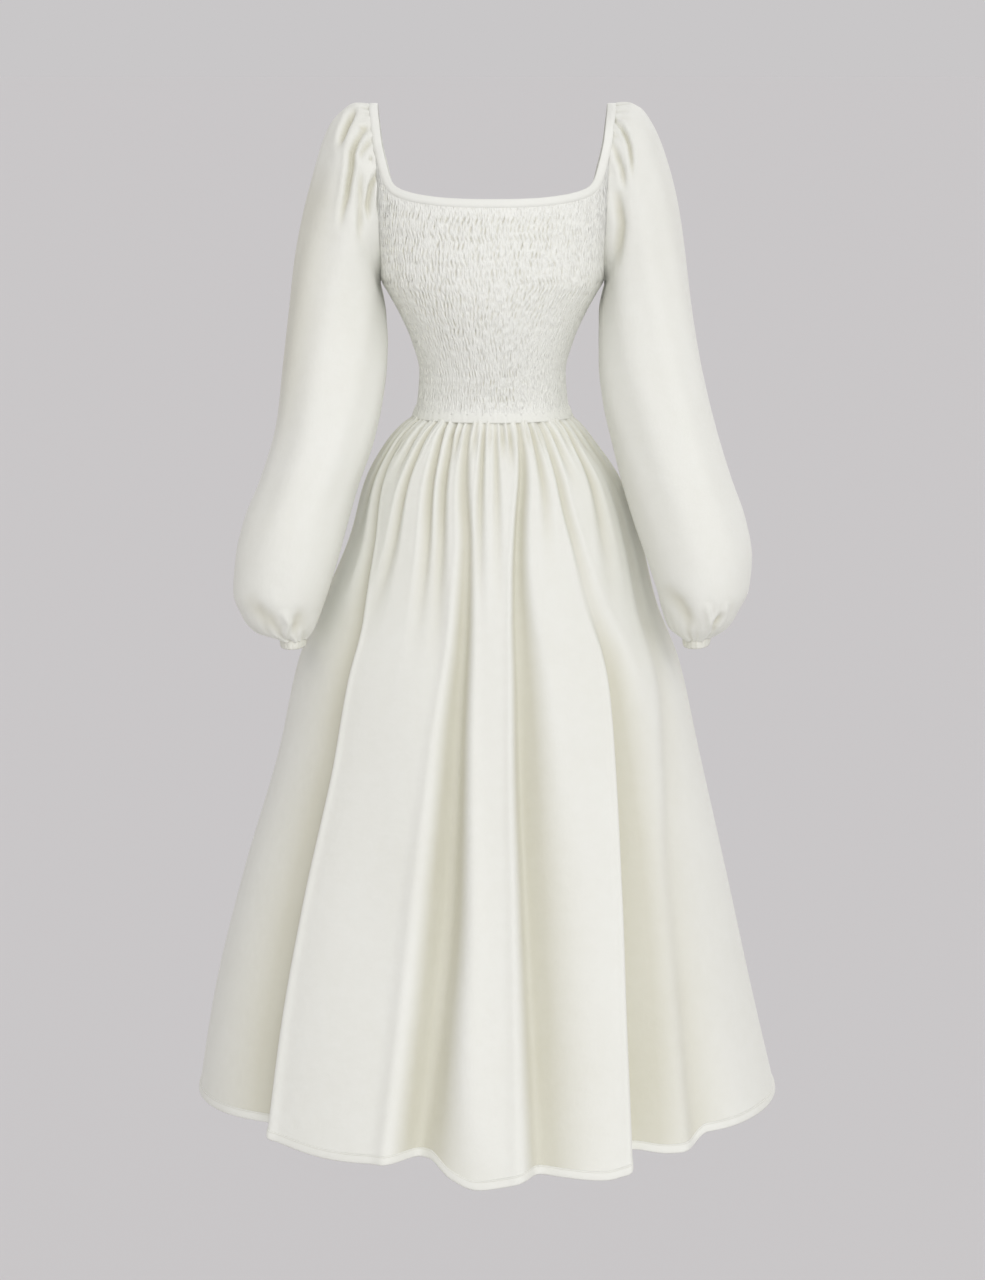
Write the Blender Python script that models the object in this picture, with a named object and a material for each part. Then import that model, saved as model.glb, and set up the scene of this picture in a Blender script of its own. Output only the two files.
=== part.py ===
"""Peasant dress: shirred bodice with a square neck, balloon sleeves and a gathered, flared skirt.

Metres, +Z up. The front faces -Y and the origin lies midway between the two shoulder tops.
Every piece of cloth is a thin wall, hollow where the garment is hollow.
"""

import math
from collections import namedtuple

import bmesh
import bpy
import numpy as np

# Cloth and seams
WALL = 0.0016
SEAM = 0.0003
CASING_WIDTH = 0.009
CASING_WALL = 0.0024
HEM_WIDTH = 0.009
HEM_WALL = 0.0012
PUFF = 0.0022

# Levels below the shoulder tops
WAIST_TOP = -0.3365
WAIST_SEAM = -0.3490
KNEE = -0.580
HEM_LEVEL = -1.140
UNDERARM = -0.195
STRAP_TIP = -0.053
STRAP_RISE = 0.028

# Armhole, an ellipse seen from the side
ARMHOLE_RISE = 0.0975
ARMHOLE_DEPTH = 0.0705

# How the panels are drawn
BODICE_TURN = 84.0
SIDE_SOFTNESS = 0.3
BAND_SQUARE = 0.5

# How many grid cells each piece has
COLUMNS_PER_GATHER = 3
BODICE_COLUMNS, BODICE_ROWS = 48, 20
SKIRT_ROWS, ROW_EASE = 10, 1.5
SLEEVE_COLUMNS, SLEEVE_ROWS = 30, 12
NECK_STEPS, BAND_SIDES = 84, 6
WAIST_COLUMNS, CUFF_COLUMNS = 56, 24

# Bodice: how far it reaches to each side, forward and back at each level
Level = namedtuple("Level", "z half front back")
BODICE = (
    Level(-0.3490, 0.0905, 0.0800, 0.0710),
    Level(-0.3305, 0.0852, 0.0800, 0.0700),
    Level(-0.2980, 0.0828, 0.0880, 0.0730),
    Level(-0.2640, 0.0912, 0.0990, 0.0800),
    Level(-0.2310, 0.1056, 0.1085, 0.0880),
    Level(-0.2067, 0.1190, 0.1130, 0.0940),
    Level(-0.1950, 0.1250, 0.1140, 0.0955),
    Level(-0.1650, 0.1245, 0.1135, 0.0975),
    Level(-0.1370, 0.1255, 0.1090, 0.0985),
    Level(-0.0900, 0.1272, 0.0970, 0.0960),
    Level(-0.0530, 0.1288, 0.0907, 0.0907),
)

# Skirt: the same, with the two sides as uneven as they hang
Flare = namedtuple("Flare", "z left right front back")
SKIRT = (
    Flare(-1.1800, 0.3480, 0.3400, 0.2780, 0.2720),
    Flare(-1.0163, 0.3219, 0.3010, 0.2500, 0.2480),
    Flare(-0.8738, 0.2866, 0.2693, 0.2250, 0.2220),
    Flare(-0.7328, 0.2449, 0.2368, 0.1980, 0.1960),
    Flare(-0.6281, 0.2215, 0.2130, 0.1760, 0.1720),
    Flare(-0.5588, 0.1931, 0.1862, 0.1600, 0.1540),
    Flare(-0.4819, 0.1610, 0.1670, 0.1400, 0.1310),
    Flare(-0.4213, 0.1444, 0.1456, 0.1220, 0.1110),
    Flare(-0.3758, 0.1193, 0.1150, 0.0990, 0.0890),
    Flare(-0.3560, 0.1010, 0.0990, 0.0850, 0.0760),
    Flare(-0.3490, 0.0905, 0.0905, 0.0800, 0.0710),
)

# Skirt folds: where each valley runs, in degrees from the middle of its panel, at the waist, at
# knee height and at the hem, how deep it is there, and how wide it is at the top and the bottom
Fold = namedtuple("Fold", "waist knee hem depth_waist depth_knee depth_hem wide_top wide_hem")
FRONT_FOLDS = (
    Fold(-70.0, -50.0, -49.0, 0.003, 0.011, 0.026, 4.0, 4.5),
    Fold(-48.7, -42.0, -40.0, 0.003, 0.000, 0.000, 3.5, 5.0),
    Fold(-35.6, -23.0, -20.0, 0.003, 0.001, 0.000, 3.5, 5.0),
    Fold(-26.5, -17.0, -15.0, 0.002, 0.001, 0.000, 3.5, 5.0),
    Fold(-16.2, -9.4, -11.0, 0.003, 0.010, 0.024, 3.5, 4.5),
    Fold(-5.4, -5.2, -5.0, 0.002, 0.001, 0.000, 3.0, 4.0),
    Fold(16.2, 7.5, 7.5, 0.003, 0.009, 0.016, 3.5, 5.0),
    Fold(34.9, 32.0, 30.0, 0.003, 0.000, 0.000, 3.5, 5.0),
    Fold(48.0, 37.0, 29.0, 0.002, 0.010, 0.024, 3.5, 4.5),
    Fold(57.0, 52.0, 50.0, 0.003, 0.000, 0.000, 3.5, 5.0),
    Fold(74.0, 61.0, 44.4, 0.002, 0.006, 0.020, 4.0, 4.5),
)
BACK_FOLDS = (
    Fold(-70.0, -66.0, -62.0, 0.002, 0.007, 0.020, 4.0, 4.5),
    Fold(-44.0, -38.0, -34.0, 0.003, 0.010, 0.024, 4.0, 5.0),
    Fold(-28.0, -25.0, -22.0, 0.003, 0.001, 0.000, 3.5, 5.0),
    Fold(-13.0, -9.0, -8.0, 0.003, 0.009, 0.022, 3.5, 5.0),
    Fold(6.0, 7.0, 8.0, 0.002, 0.001, 0.000, 3.5, 5.0),
    Fold(21.0, 17.0, 16.0, 0.003, 0.010, 0.023, 3.5, 5.0),
    Fold(46.0, 41.0, 40.0, 0.003, 0.009, 0.021, 3.5, 5.0),
    Fold(70.0, 67.0, 66.0, 0.002, 0.007, 0.020, 4.0, 4.5),
)
FRONT_GATHERS, BACK_GATHERS = 20, 18
GATHER_DEPTH, GATHER_END = 0.0018, -0.50

# Hem height round each panel
Hem = namedtuple("Hem", "angle z")
FRONT_HEM = (
    Hem(-90.0, -1.129), Hem(-52.0, -1.129), Hem(-46.0, -1.137), Hem(-30.0, -1.146),
    Hem(-13.0, -1.143), Hem(-8.0, -1.159), Hem(-3.0, -1.168), Hem(2.0, -1.164), Hem(7.0, -1.158),
    Hem(14.0, -1.160), Hem(22.0, -1.163), Hem(27.0, -1.156), Hem(31.0, -1.143),
    Hem(38.0, -1.148), Hem(44.0, -1.146), Hem(49.0, -1.133), Hem(90.0, -1.129),
)
BACK_HEM = (
    Hem(-90.0, -1.129), Hem(-62.0, -1.132), Hem(-48.0, -1.140), Hem(-34.0, -1.136),
    Hem(-20.0, -1.148), Hem(-8.0, -1.142), Hem(4.0, -1.151), Hem(16.0, -1.142),
    Hem(28.0, -1.147), Hem(40.0, -1.136), Hem(53.0, -1.140), Hem(66.0, -1.131), Hem(90.0, -1.129),
)

# Neck edge from the middle to the shoulder top: how far out and down it lies, and which way the
# casing runs from it, in degrees below level
Neck = namedtuple("Neck", "x drop turn")
SHOULDER = (
    Neck(0.1190, 0.0560, 16.0), Neck(0.1222, 0.0420, 12.0), Neck(0.1245, 0.0260, 9.0),
    Neck(0.1265, 0.0120, 4.0), Neck(0.1278, 0.0030, 1.0),
)
FRONT_NECK = (
    Neck(0.0000, 0.1018, 90.0), Neck(0.0240, 0.1016, 89.0), Neck(0.0500, 0.1006, 86.0),
    Neck(0.0740, 0.0981, 82.0), Neck(0.0910, 0.0949, 75.0), Neck(0.1015, 0.0913, 65.0),
    Neck(0.1077, 0.0872, 49.0), Neck(0.1118, 0.0808, 33.0), Neck(0.1151, 0.0708, 22.0),
) + SHOULDER
BACK_NECK = (
    Neck(0.0000, 0.1300, 90.0), Neck(0.0300, 0.1295, 89.0), Neck(0.0580, 0.1275, 84.0),
    Neck(0.0800, 0.1240, 79.0), Neck(0.0940, 0.1195, 70.0), Neck(0.1020, 0.1140, 56.0),
    Neck(0.1070, 0.1040, 38.0), Neck(0.1110, 0.0890, 25.0), Neck(0.1150, 0.0720, 20.0),
) + SHOULDER
SHOULDER_TOP = Neck(0.1280, 0.0000, 0.0)

# Sleeves: each ring is an ellipse whose long diameter runs from an outer to an inner point
Ring = namedtuple("Ring", "out_x out_z in_x in_z middle_y depth")
SLEEVES = {
    "left": (
        Ring(0.1375, 0.0000, 0.1255, -0.1950, 0.000, 0.0705),
        Ring(0.1510, 0.0010, 0.1262, -0.1990, -0.001, 0.0725),
        Ring(0.1640, -0.0045, 0.1264, -0.2030, -0.002, 0.0745),
        Ring(0.1795, -0.0200, 0.1245, -0.2100, -0.003, 0.0760),
        Ring(0.1890, -0.0400, 0.1215, -0.2180, -0.004, 0.0765),
        Ring(0.2010, -0.0830, 0.1185, -0.2300, -0.007, 0.0760),
        Ring(0.2110, -0.1250, 0.1175, -0.2450, -0.011, 0.0750),
        Ring(0.2200, -0.1700, 0.1165, -0.2640, -0.017, 0.0740),
        Ring(0.2270, -0.2220, 0.1172, -0.2900, -0.026, 0.0730),
        Ring(0.2350, -0.2850, 0.1225, -0.3300, -0.038, 0.0730),
        Ring(0.2425, -0.3500, 0.1330, -0.3750, -0.050, 0.0745),
        Ring(0.2600, -0.4130, 0.1500, -0.4230, -0.062, 0.0760),
        Ring(0.2765, -0.4560, 0.1610, -0.4620, -0.071, 0.0760),
        Ring(0.2855, -0.4980, 0.1715, -0.5010, -0.077, 0.0740),
        Ring(0.2885, -0.5360, 0.1825, -0.5360, -0.080, 0.0680),
        Ring(0.2810, -0.5590, 0.1905, -0.5580, -0.081, 0.0600),
        Ring(0.2650, -0.5790, 0.1985, -0.5760, -0.082, 0.0470),
        Ring(0.2380, -0.5890, 0.2070, -0.5880, -0.082, 0.0330),
    ),
    "right": (
        Ring(0.1375, 0.0000, 0.1255, -0.1950, 0.000, 0.0705),
        Ring(0.1510, 0.0010, 0.1262, -0.1990, -0.001, 0.0725),
        Ring(0.1640, -0.0040, 0.1264, -0.2030, -0.002, 0.0745),
        Ring(0.1775, -0.0220, 0.1245, -0.2100, -0.003, 0.0760),
        Ring(0.1860, -0.0400, 0.1225, -0.2180, -0.004, 0.0765),
        Ring(0.1990, -0.0830, 0.1200, -0.2300, -0.007, 0.0760),
        Ring(0.2075, -0.1250, 0.1192, -0.2450, -0.011, 0.0750),
        Ring(0.2145, -0.1700, 0.1185, -0.2640, -0.017, 0.0740),
        Ring(0.2220, -0.2220, 0.1188, -0.2900, -0.026, 0.0730),
        Ring(0.2335, -0.2850, 0.1240, -0.3300, -0.038, 0.0730),
        Ring(0.2490, -0.3500, 0.1350, -0.3750, -0.050, 0.0745),
        Ring(0.2675, -0.4130, 0.1475, -0.4230, -0.062, 0.0760),
        Ring(0.2815, -0.4560, 0.1590, -0.4620, -0.071, 0.0760),
        Ring(0.2885, -0.4980, 0.1720, -0.5010, -0.077, 0.0740),
        Ring(0.2855, -0.5340, 0.1835, -0.5360, -0.080, 0.0680),
        Ring(0.2760, -0.5550, 0.1900, -0.5580, -0.081, 0.0600),
        Ring(0.2630, -0.5740, 0.1975, -0.5770, -0.082, 0.0470),
        Ring(0.2440, -0.5860, 0.2120, -0.5890, -0.082, 0.0330),
    ),
}
SIGNS = {"left": -1.0, "right": 1.0}
HEAD_GATHER, HEAD_ANGLE, HEAD_START, HEAD_REACH = 0.0022, 80.0, 0.02, 0.30
CUFF_GATHER, CUFF_START, CUFF_FULL = 0.0022, 0.84, 0.97
CUFF_HEIGHT, CUFF_TUCK = 0.009, 0.001
FIT_REACH = 0.16
CASING_STEP = 0.0006

IVORY = (0.86, 0.86, 0.80, 1.0)
IVORY_TRIM = (0.89, 0.88, 0.83, 1.0)
ROUGHNESS = 0.85


def smooth(places, heights, at):
    """Heights of a smooth curve through the given places (rising), which never overshoots them."""
    places, heights = np.asarray(places, float), np.asarray(heights, float)
    steps = np.diff(places)
    slopes = np.diff(heights) / steps
    same = slopes[:-1] * slopes[1:] > 0
    total = np.where(same, slopes[:-1] + slopes[1:], 1.0)
    inner = np.where(same, 2 * slopes[:-1] * slopes[1:] / total, 0.0)
    tangents = np.concatenate([slopes[:1], inner, slopes[-1:]])
    i = np.clip(np.searchsorted(places, at, side="right") - 1, 0, len(steps) - 1)
    f = np.clip((at - places[i]) / steps[i], 0.0, 1.0)
    rise = heights[i] + (3 * f**2 - 2 * f**3) * (heights[i + 1] - heights[i])
    return rise + steps[i] * ((f**3 - 2 * f**2 + f) * tangents[i] + (f**3 - f**2) * tangents[i + 1])


def column(rows, name):
    return [getattr(row, name) for row in rows]


def fade(start, end, at):
    """1 at start and before, 0 at end and after, with a soft change between."""
    f = np.clip((at - start) / (end - start), 0.0, 1.0)
    return 1 - f * f * (3 - 2 * f)


def seam_depth(z):
    """How far forward or back the armhole seam lies at a level."""
    height = (z + ARMHOLE_RISE) / ARMHOLE_RISE
    return ARMHOLE_DEPTH * np.sqrt(np.clip(1 - height**2, 0.0, 1.0))


def bodice_half(z, inset=0.0):
    return smooth(column(BODICE, "z"), column(BODICE, "half"), z) - inset


def torso_depth(face, across, z, inset=0.0):
    """How far the bodice stands out at a level, across from -1 at one side to 1 at the other."""
    seam = seam_depth(z)
    below = smooth(column(BODICE, "z"), column(BODICE, face), z)
    middle = np.where(z > STRAP_TIP, seam + STRAP_RISE * z / STRAP_TIP, below)
    power = 0.5 + 0.5 * fade_down(z)
    bulge = (middle - seam) * np.clip(1 - across**2, 0.0, 1.0) ** power
    return seam + bulge - inset


def fade_down(z):
    """1 above the chest, 0 from the underarm down."""
    return fade(0.10, -UNDERARM, -z)


def neck_lines(face, offset):
    """Half of the neck edge and the casing's far edge, as smooth (x, z) lines from the middle out."""
    rows = (FRONT_NECK if face == "front" else BACK_NECK) + (SHOULDER_TOP,)
    steps = np.arange(len(rows))
    at = np.linspace(0, len(rows) - 1, 12 * (len(rows) - 1) + 1)
    x, z = (smooth(steps, column(rows, name), at) for name in ("x", "drop"))
    turn = np.radians(smooth(steps, column(rows, "turn"), at))
    return x + offset * np.cos(turn), -z - offset * np.sin(turn)


def seam_half(z):
    """How far out the sleeve seam lies, from the underarm up over the shoulder."""
    x, height = neck_lines("front", CASING_WIDTH + SEAM)
    over = height > STRAP_TIP - 0.02
    casing = np.interp(z, height[over], x[over])
    return np.where(z > STRAP_TIP, np.maximum(casing, bodice_half(STRAP_TIP)), bodice_half(z)) + SEAM


def top_edge(face, across):
    """Level of the bodice panel's upper edge, just under the neck casing."""
    x, z = neck_lines(face, CASING_WIDTH + SEAM)
    return np.interp(np.abs(across), x / bodice_half(z), z)


def grid(columns, rows):
    """A flat grid whose points remember their place across and down, both from 0 to 1."""
    mesh = bmesh.new()
    bmesh.ops.create_grid(mesh, x_segments=columns, y_segments=rows, size=0.5)
    across = mesh.verts.layers.float.new("across")
    down = mesh.verts.layers.float.new("down")
    for vert in mesh.verts:
        vert[across] = vert.co.x + 0.5
        vert[down] = 0.5 - vert.co.y
    return mesh


def places(verts, mesh):
    across, down = mesh.verts.layers.float["across"], mesh.verts.layers.float["down"]
    return np.array([v[across] for v in verts]), np.array([v[down] for v in verts])


def move(verts, points):
    for vert, point in zip(verts, points):
        vert.co = point


def finish(name, mesh, collection, color):
    bmesh.ops.recalc_face_normals(mesh, faces=mesh.faces)
    data = bpy.data.meshes.new(name)
    mesh.to_mesh(data)
    mesh.free()
    data.shade_smooth()
    material = bpy.data.materials.new(name)
    material.use_nodes = True
    shader = material.node_tree.nodes["Principled BSDF"]
    shader.inputs["Base Color"].default_value = color
    shader.inputs["Roughness"].default_value = ROUGHNESS
    shader.inputs["Metallic"].default_value = 0.0
    data.materials.append(material)
    piece = bpy.data.objects.new(name, data)
    collection.objects.link(piece)
    return piece


def wall(columns, rows, place, relief=None, thin=None, closed=False, thickness=WALL):
    """A wall of cloth: place(across, down, inset) gives its points, inset from its outer side."""
    mesh = grid(columns, rows)
    outer = list(mesh.verts)
    across, down = places(outer, mesh)
    raised = relief(across, down) if relief else 0.0
    move(outer, place(across, down, -raised))
    if closed:
        bmesh.ops.remove_doubles(mesh, verts=mesh.verts, dist=1e-5)
    copied = bmesh.ops.extrude_face_region(mesh, geom=mesh.faces[:], use_keep_orig=True)
    inner = [item for item in copied["geom"] if isinstance(item, bmesh.types.BMVert)]
    across, down = places(inner, mesh)
    move(inner, place(across, down, np.full(len(inner), thickness)))
    if thin:
        plain_inside(mesh, inner, across, down, (columns, rows), thin)
    return mesh


def plain_inside(mesh, inner, across, down, cells, thin):
    """Leaves only every few grid lines on the inner side, which carries no relief."""
    i = np.rint(across * cells[0]).astype(int)
    j = np.rint(down * cells[1]).astype(int)
    inside = (i > 0) & (i < cells[0]) & (j > 0) & (j < cells[1])
    off_column, off_row = i % thin[0] > 0, j % thin[1] > 0
    between_lines = inside & off_column & off_row
    along_a_line = inside & (off_column != off_row)
    for spare in (between_lines, along_a_line):
        bmesh.ops.dissolve_verts(mesh, verts=[vert for vert, gone in zip(inner, spare) if gone])


def shirring(across, down):
    """Puffs between the rows of elastic: each row is set half a step against the next."""
    i = np.rint(across * BODICE_COLUMNS)
    j = np.rint(down * BODICE_ROWS)
    inside = (i > 1) & (i < BODICE_COLUMNS - 1) & (j > 0) & (j < BODICE_ROWS)
    wave = np.cos(2 * math.pi * (i / COLUMNS_PER_GATHER + j / 2))
    return np.where(inside, PUFF * (0.5 + 0.5 * wave), 0.0)


def bodice_place(face):
    """Places points of a bodice panel, from the neck casing down to the waist casing."""
    sign = -1.0 if face == "front" else 1.0
    widest = math.radians(BODICE_TURN)

    def place(across, down, inset):
        s = np.sin((2 * across - 1) * widest) / math.sin(widest)
        top = top_edge(face, s)
        z = top + (WAIST_TOP + SEAM - top) * down
        depth = torso_depth(face, s, z, inset)
        half = bodice_half(z)
        x = s * (half - inset * (1 - fade_down(z)))
        y = sign * np.maximum(depth, SEAM / 2)
        return np.stack([x, y, z], axis=1)

    return place


def fold_depth(folds, angle, z):
    """How far the skirt falls in at each angle and level, in all its valleys together."""
    levels = (-1.18, KNEE, WAIST_SEAM)
    total = np.zeros_like(z)
    for fold in folds:
        line = smooth(levels, (fold.hem, fold.knee, fold.waist), z)
        depth = smooth(levels, (fold.depth_hem, fold.depth_knee, fold.depth_waist), z)
        wide = np.interp(z, (levels[0], levels[2]), (fold.wide_hem, fold.wide_top))
        total += depth * np.exp(-(((angle - line) / wide) ** 2))
    return total


def skirt_place(face):
    """Places points of a skirt panel, from the waist seam down to the hem."""
    front = face == "front"
    sign = -1.0 if front else 1.0
    folds, hem = (FRONT_FOLDS, FRONT_HEM) if front else (BACK_FOLDS, BACK_HEM)
    gathers = FRONT_GATHERS if front else BACK_GATHERS

    def place(across, down, inset):
        degrees = 180 * across - 90
        angle = np.radians(degrees)
        bottom = smooth(column(hem, "angle"), column(hem, "z"), degrees)
        z = WAIST_SEAM - SEAM + (bottom - WAIST_SEAM + SEAM) * down
        levels = column(SKIRT, "z")
        side = np.where(
            across < 0.5, smooth(levels, column(SKIRT, "left"), z), smooth(levels, column(SKIRT, "right"), z)
        )
        mean = (smooth(levels, column(SKIRT, "left"), z) + smooth(levels, column(SKIRT, "right"), z)) / 2
        side = mean + (side - mean) * np.abs(np.sin(angle))
        depth = smooth(levels, column(SKIRT, face), z)
        soft = np.abs(np.cos(angle)) ** SIDE_SOFTNESS
        gather = GATHER_DEPTH * np.cos(2 * math.pi * gathers * across) * fade(-WAIST_SEAM, -GATHER_END, -z)
        out = (gather - fold_depth(folds, degrees, z)) * soft - inset
        x = (side + out) * np.sin(angle)
        y = sign * np.maximum((depth + out) * np.cos(angle), SEAM / 2)
        return np.stack([x, y, z], axis=1)

    return place


def down_to_hem(place, turned):
    """The skirt's surface with its rows closer near the top, and the last one as deep as the hem."""

    def eased(across, down, inset):
        last = 1 - 1 / SKIRT_ROWS
        above = turned * np.clip(down / last, 0.0, 1.0) ** ROW_EASE
        return place(across, np.where(down > last + 1e-4, 1.0, above), inset)

    return eased


def along_hem(place, turned):
    """The skirt's surface from the hem's upper edge down, just outside it."""

    def outside(across, down, inset):
        return place(across, turned + (1 - turned) * down, inset - HEM_WALL - SEAM)

    return outside


def between(outer, inner, share):
    """The outer value at a share of 1, the inner one at -1 and their middle at 0."""
    return (outer + inner) / 2 + (outer - inner) / 2 * share


def sleeve_place(side):
    """Places points of a sleeve, across once round it from the shoulder line, down to the wrist."""
    rings = SLEEVES[side]
    sign = SIGNS[side]
    steps = np.linspace(0, 1, len(rings))

    def place(across, along, inset):
        ring = {name: smooth(steps, column(rings, name), along) for name in Ring._fields}
        turn = 2 * math.pi * across
        reach = np.hypot(ring["out_x"] - ring["in_x"], ring["out_z"] - ring["in_z"]) / 2
        head = fade(0.0, math.radians(HEAD_ANGLE), np.abs((turn + math.pi) % (2 * math.pi) - math.pi))
        wave = np.cos(SLEEVE_COLUMNS / COLUMNS_PER_GATHER * turn)
        gather = HEAD_GATHER * head * fade(HEAD_START, HEAD_REACH, along)
        gather += CUFF_GATHER * (1 - fade(CUFF_START, CUFF_FULL, along))
        out = wave * gather - inset
        share = 1 + out / reach
        x = between(ring["out_x"], ring["in_x"], np.cos(turn) * share)
        z = between(ring["out_z"], ring["in_z"], np.cos(turn) * share)
        y = ring["middle_y"] - (ring["depth"] + out) * np.sin(turn)
        seam = seam_half(np.minimum(z, 0.0))
        x += (seam - between(rings[0].out_x, rings[0].in_x, np.cos(turn))) * fade(0.0, FIT_REACH, along)
        return np.stack([sign * x, y, z], axis=1)

    return place


def squared(wave):
    """A wave with flatter tops, for a strip with rounded edges."""
    return np.sign(wave) * np.abs(wave) ** BAND_SQUARE


def neck_band(steps, sides):
    """The neck casing: a rounded strip swept all round the neck edge."""
    line, far = neck_loop(0.0), neck_loop(CASING_WIDTH)
    shares = np.linspace(0, 1, len(line))
    mesh = grid(steps, sides)
    verts = list(mesh.verts)
    across, down = places(verts, mesh)
    near = np.stack([np.interp(across, shares, line[:, k]) for k in range(3)], axis=1)
    width = np.stack([np.interp(across, shares, far[:, k]) for k in range(3)], axis=1) - near
    along = np.roll(line, -2, axis=0) - np.roll(line, 2, axis=0)
    along[-1] = along[0]
    along = np.stack([np.interp(across, shares, along[:, k]) for k in range(3)], axis=1)
    up = np.cross(along, width)
    up /= np.linalg.norm(up, axis=1)[:, None]
    turn = 2 * math.pi * down
    lift = CASING_WALL / 2 * squared(np.sin(turn)) + CASING_STEP - CASING_WALL / 2
    shift = 0.5 + 0.5 * squared(np.cos(turn))
    move(verts, near + width * shift[:, None] + up * lift[:, None])
    bmesh.ops.remove_doubles(mesh, verts=mesh.verts, dist=1e-5)
    return mesh


def neck_loop(offset):
    """The whole neck edge, or the casing's far edge, as one closed line of points."""
    halves = []
    for face, sign in (("front", -1.0), ("back", 1.0)):
        x, z = neck_lines(face, offset)
        across = x / np.where(z > STRAP_TIP, seam_half(z), bodice_half(z))
        halves.append(np.stack([x, sign * torso_depth(face, across, z), z], axis=1))
    front, back = halves
    right = np.concatenate([front, back[::-1][1:]])
    left = right[::-1][1:] * np.array([-1.0, 1.0, 1.0])
    return np.concatenate([right, left])


def waist_band_place(across, down, inset):
    """Places points of the waist casing, once round the waist."""
    turn = 2 * math.pi * across
    z = WAIST_TOP + (WAIST_SEAM - WAIST_TOP) * down
    half = bodice_half(z)
    front, back = (smooth(column(BODICE, "z"), column(BODICE, name), z) for name in ("front", "back"))
    depth = np.where(np.cos(turn) > 0, front, back)
    out = CASING_STEP - inset
    return np.stack([(half + out) * np.sin(turn), -(depth + out) * np.cos(turn), z], axis=1)


def cuff_place(side):
    """Places points of a wrist casing, just below the sleeve's last ring."""
    last = SLEEVES[side][-1]
    sign = SIGNS[side]

    def place(across, down, inset):
        turn = 2 * math.pi * across
        reach = (last.out_x - last.in_x) / 2 - inset - CUFF_TUCK
        x = (last.out_x + last.in_x) / 2 + reach * np.cos(turn)
        z = between(last.out_z, last.in_z, np.cos(turn)) - SEAM - CUFF_HEIGHT * down
        y = last.middle_y - (last.depth - inset - CUFF_TUCK) * np.sin(turn)
        return np.stack([sign * x, y, z], axis=1)

    return place


def make_bodice(collection):
    for face in ("front", "back"):
        mesh = wall(BODICE_COLUMNS, BODICE_ROWS, bodice_place(face), relief=shirring, thin=(4, 5))
        finish(f"bodice_{face}", mesh, collection, IVORY)


def make_skirt(collection):
    turned = 1 - HEM_WIDTH / (WAIST_SEAM - HEM_LEVEL)
    for face, gathers in (("front", FRONT_GATHERS), ("back", BACK_GATHERS)):
        columns = gathers * COLUMNS_PER_GATHER
        place = skirt_place(face)
        finish(f"skirt_{face}", wall(columns, SKIRT_ROWS, down_to_hem(place, turned)), collection, IVORY)
        hem = wall(columns, 1, along_hem(place, turned), thickness=HEM_WALL)
        finish(f"hem_{face}", hem, collection, IVORY_TRIM)


def make_sleeves(collection):
    for side in SLEEVES:
        mesh = wall(SLEEVE_COLUMNS, SLEEVE_ROWS, sleeve_place(side), closed=True)
        finish(f"sleeve_{side}", mesh, collection, IVORY)
        cuff = wall(CUFF_COLUMNS, 1, cuff_place(side), closed=True)
        finish(f"cuff_{side}", cuff, collection, IVORY_TRIM)


def make_casings(collection):
    finish("neck_casing", neck_band(NECK_STEPS, BAND_SIDES), collection, IVORY_TRIM)
    band = wall(WAIST_COLUMNS, 1, waist_band_place, closed=True, thickness=WALL + CASING_STEP)
    finish("waist_casing", band, collection, IVORY_TRIM)


def main():
    for item in list(bpy.data.objects):
        bpy.data.objects.remove(item)
    collection = bpy.data.collections.new("peasant_dress")
    bpy.context.scene.collection.children.link(collection)
    make_bodice(collection)
    make_casings(collection)
    make_sleeves(collection)
    make_skirt(collection)


main()
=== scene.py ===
"""Peasant dress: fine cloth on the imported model, its ivory cotton, the soft light and the camera."""

import math
from collections import namedtuple

import bmesh
import bpy
import numpy as np
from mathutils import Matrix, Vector


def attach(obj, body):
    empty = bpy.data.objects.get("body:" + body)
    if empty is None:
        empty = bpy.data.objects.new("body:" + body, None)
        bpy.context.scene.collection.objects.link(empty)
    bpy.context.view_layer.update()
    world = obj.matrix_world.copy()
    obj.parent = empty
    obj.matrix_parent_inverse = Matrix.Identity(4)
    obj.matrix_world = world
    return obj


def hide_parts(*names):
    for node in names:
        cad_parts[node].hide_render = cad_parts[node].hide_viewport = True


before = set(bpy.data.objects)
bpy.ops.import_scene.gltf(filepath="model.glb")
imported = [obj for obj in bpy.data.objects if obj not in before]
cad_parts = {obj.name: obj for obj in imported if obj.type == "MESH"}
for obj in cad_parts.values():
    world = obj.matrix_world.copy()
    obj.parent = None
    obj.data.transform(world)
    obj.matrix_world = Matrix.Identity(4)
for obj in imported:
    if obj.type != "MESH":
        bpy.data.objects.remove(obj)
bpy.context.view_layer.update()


def rows(kind, *values):
    """Rows of one kind, from plain tuples."""
    return tuple(kind(*value) for value in values)


# Cloth, in metres: its thickness, the play at a seam, how far pieces reach under their neighbours,
# and how near two points of a closed sheet are joined
CLOTH = 0.0009
SEAM = 0.0003
SEAM_OVERLAP = 0.0010
PANEL_TUCK, SKIRT_TUCK = 0.004, 0.003
JOIN_REACH = 1e-5
CASING_WIDTH = 0.009
CASING_STEP = 0.0006
HEM_WIDTH = 0.009
HEM_STEP = 0.0011
HEM_GAP, HEM_END = 0.0002, 1.0015
BAND_GAP = 0.0005

# Levels below the shoulder tops
WAIST_TOP = -0.3365
WAIST_SEAM = -0.3490
HEM_LEVEL = -1.140
UNDERARM = -0.195
CHEST_TOP = -0.10
STRAP_TIP, STRAP_MARGIN = -0.053, 0.02
STRAP_RISE = 0.028
ARMHOLE_RISE = 0.0975
ARMHOLE_DEPTH = 0.0705

# How round the bodice is: the degrees that a panel turns to each side, the power of its section at
# the waist and over the chest, and how closely it hugs the armhole seam
BODICE_TURN = 84.0
WAIST_POWER, CHEST_POWER = 0.5, 1.0
SEAM_HUG = 9
NECK_FINENESS = 12

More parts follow.
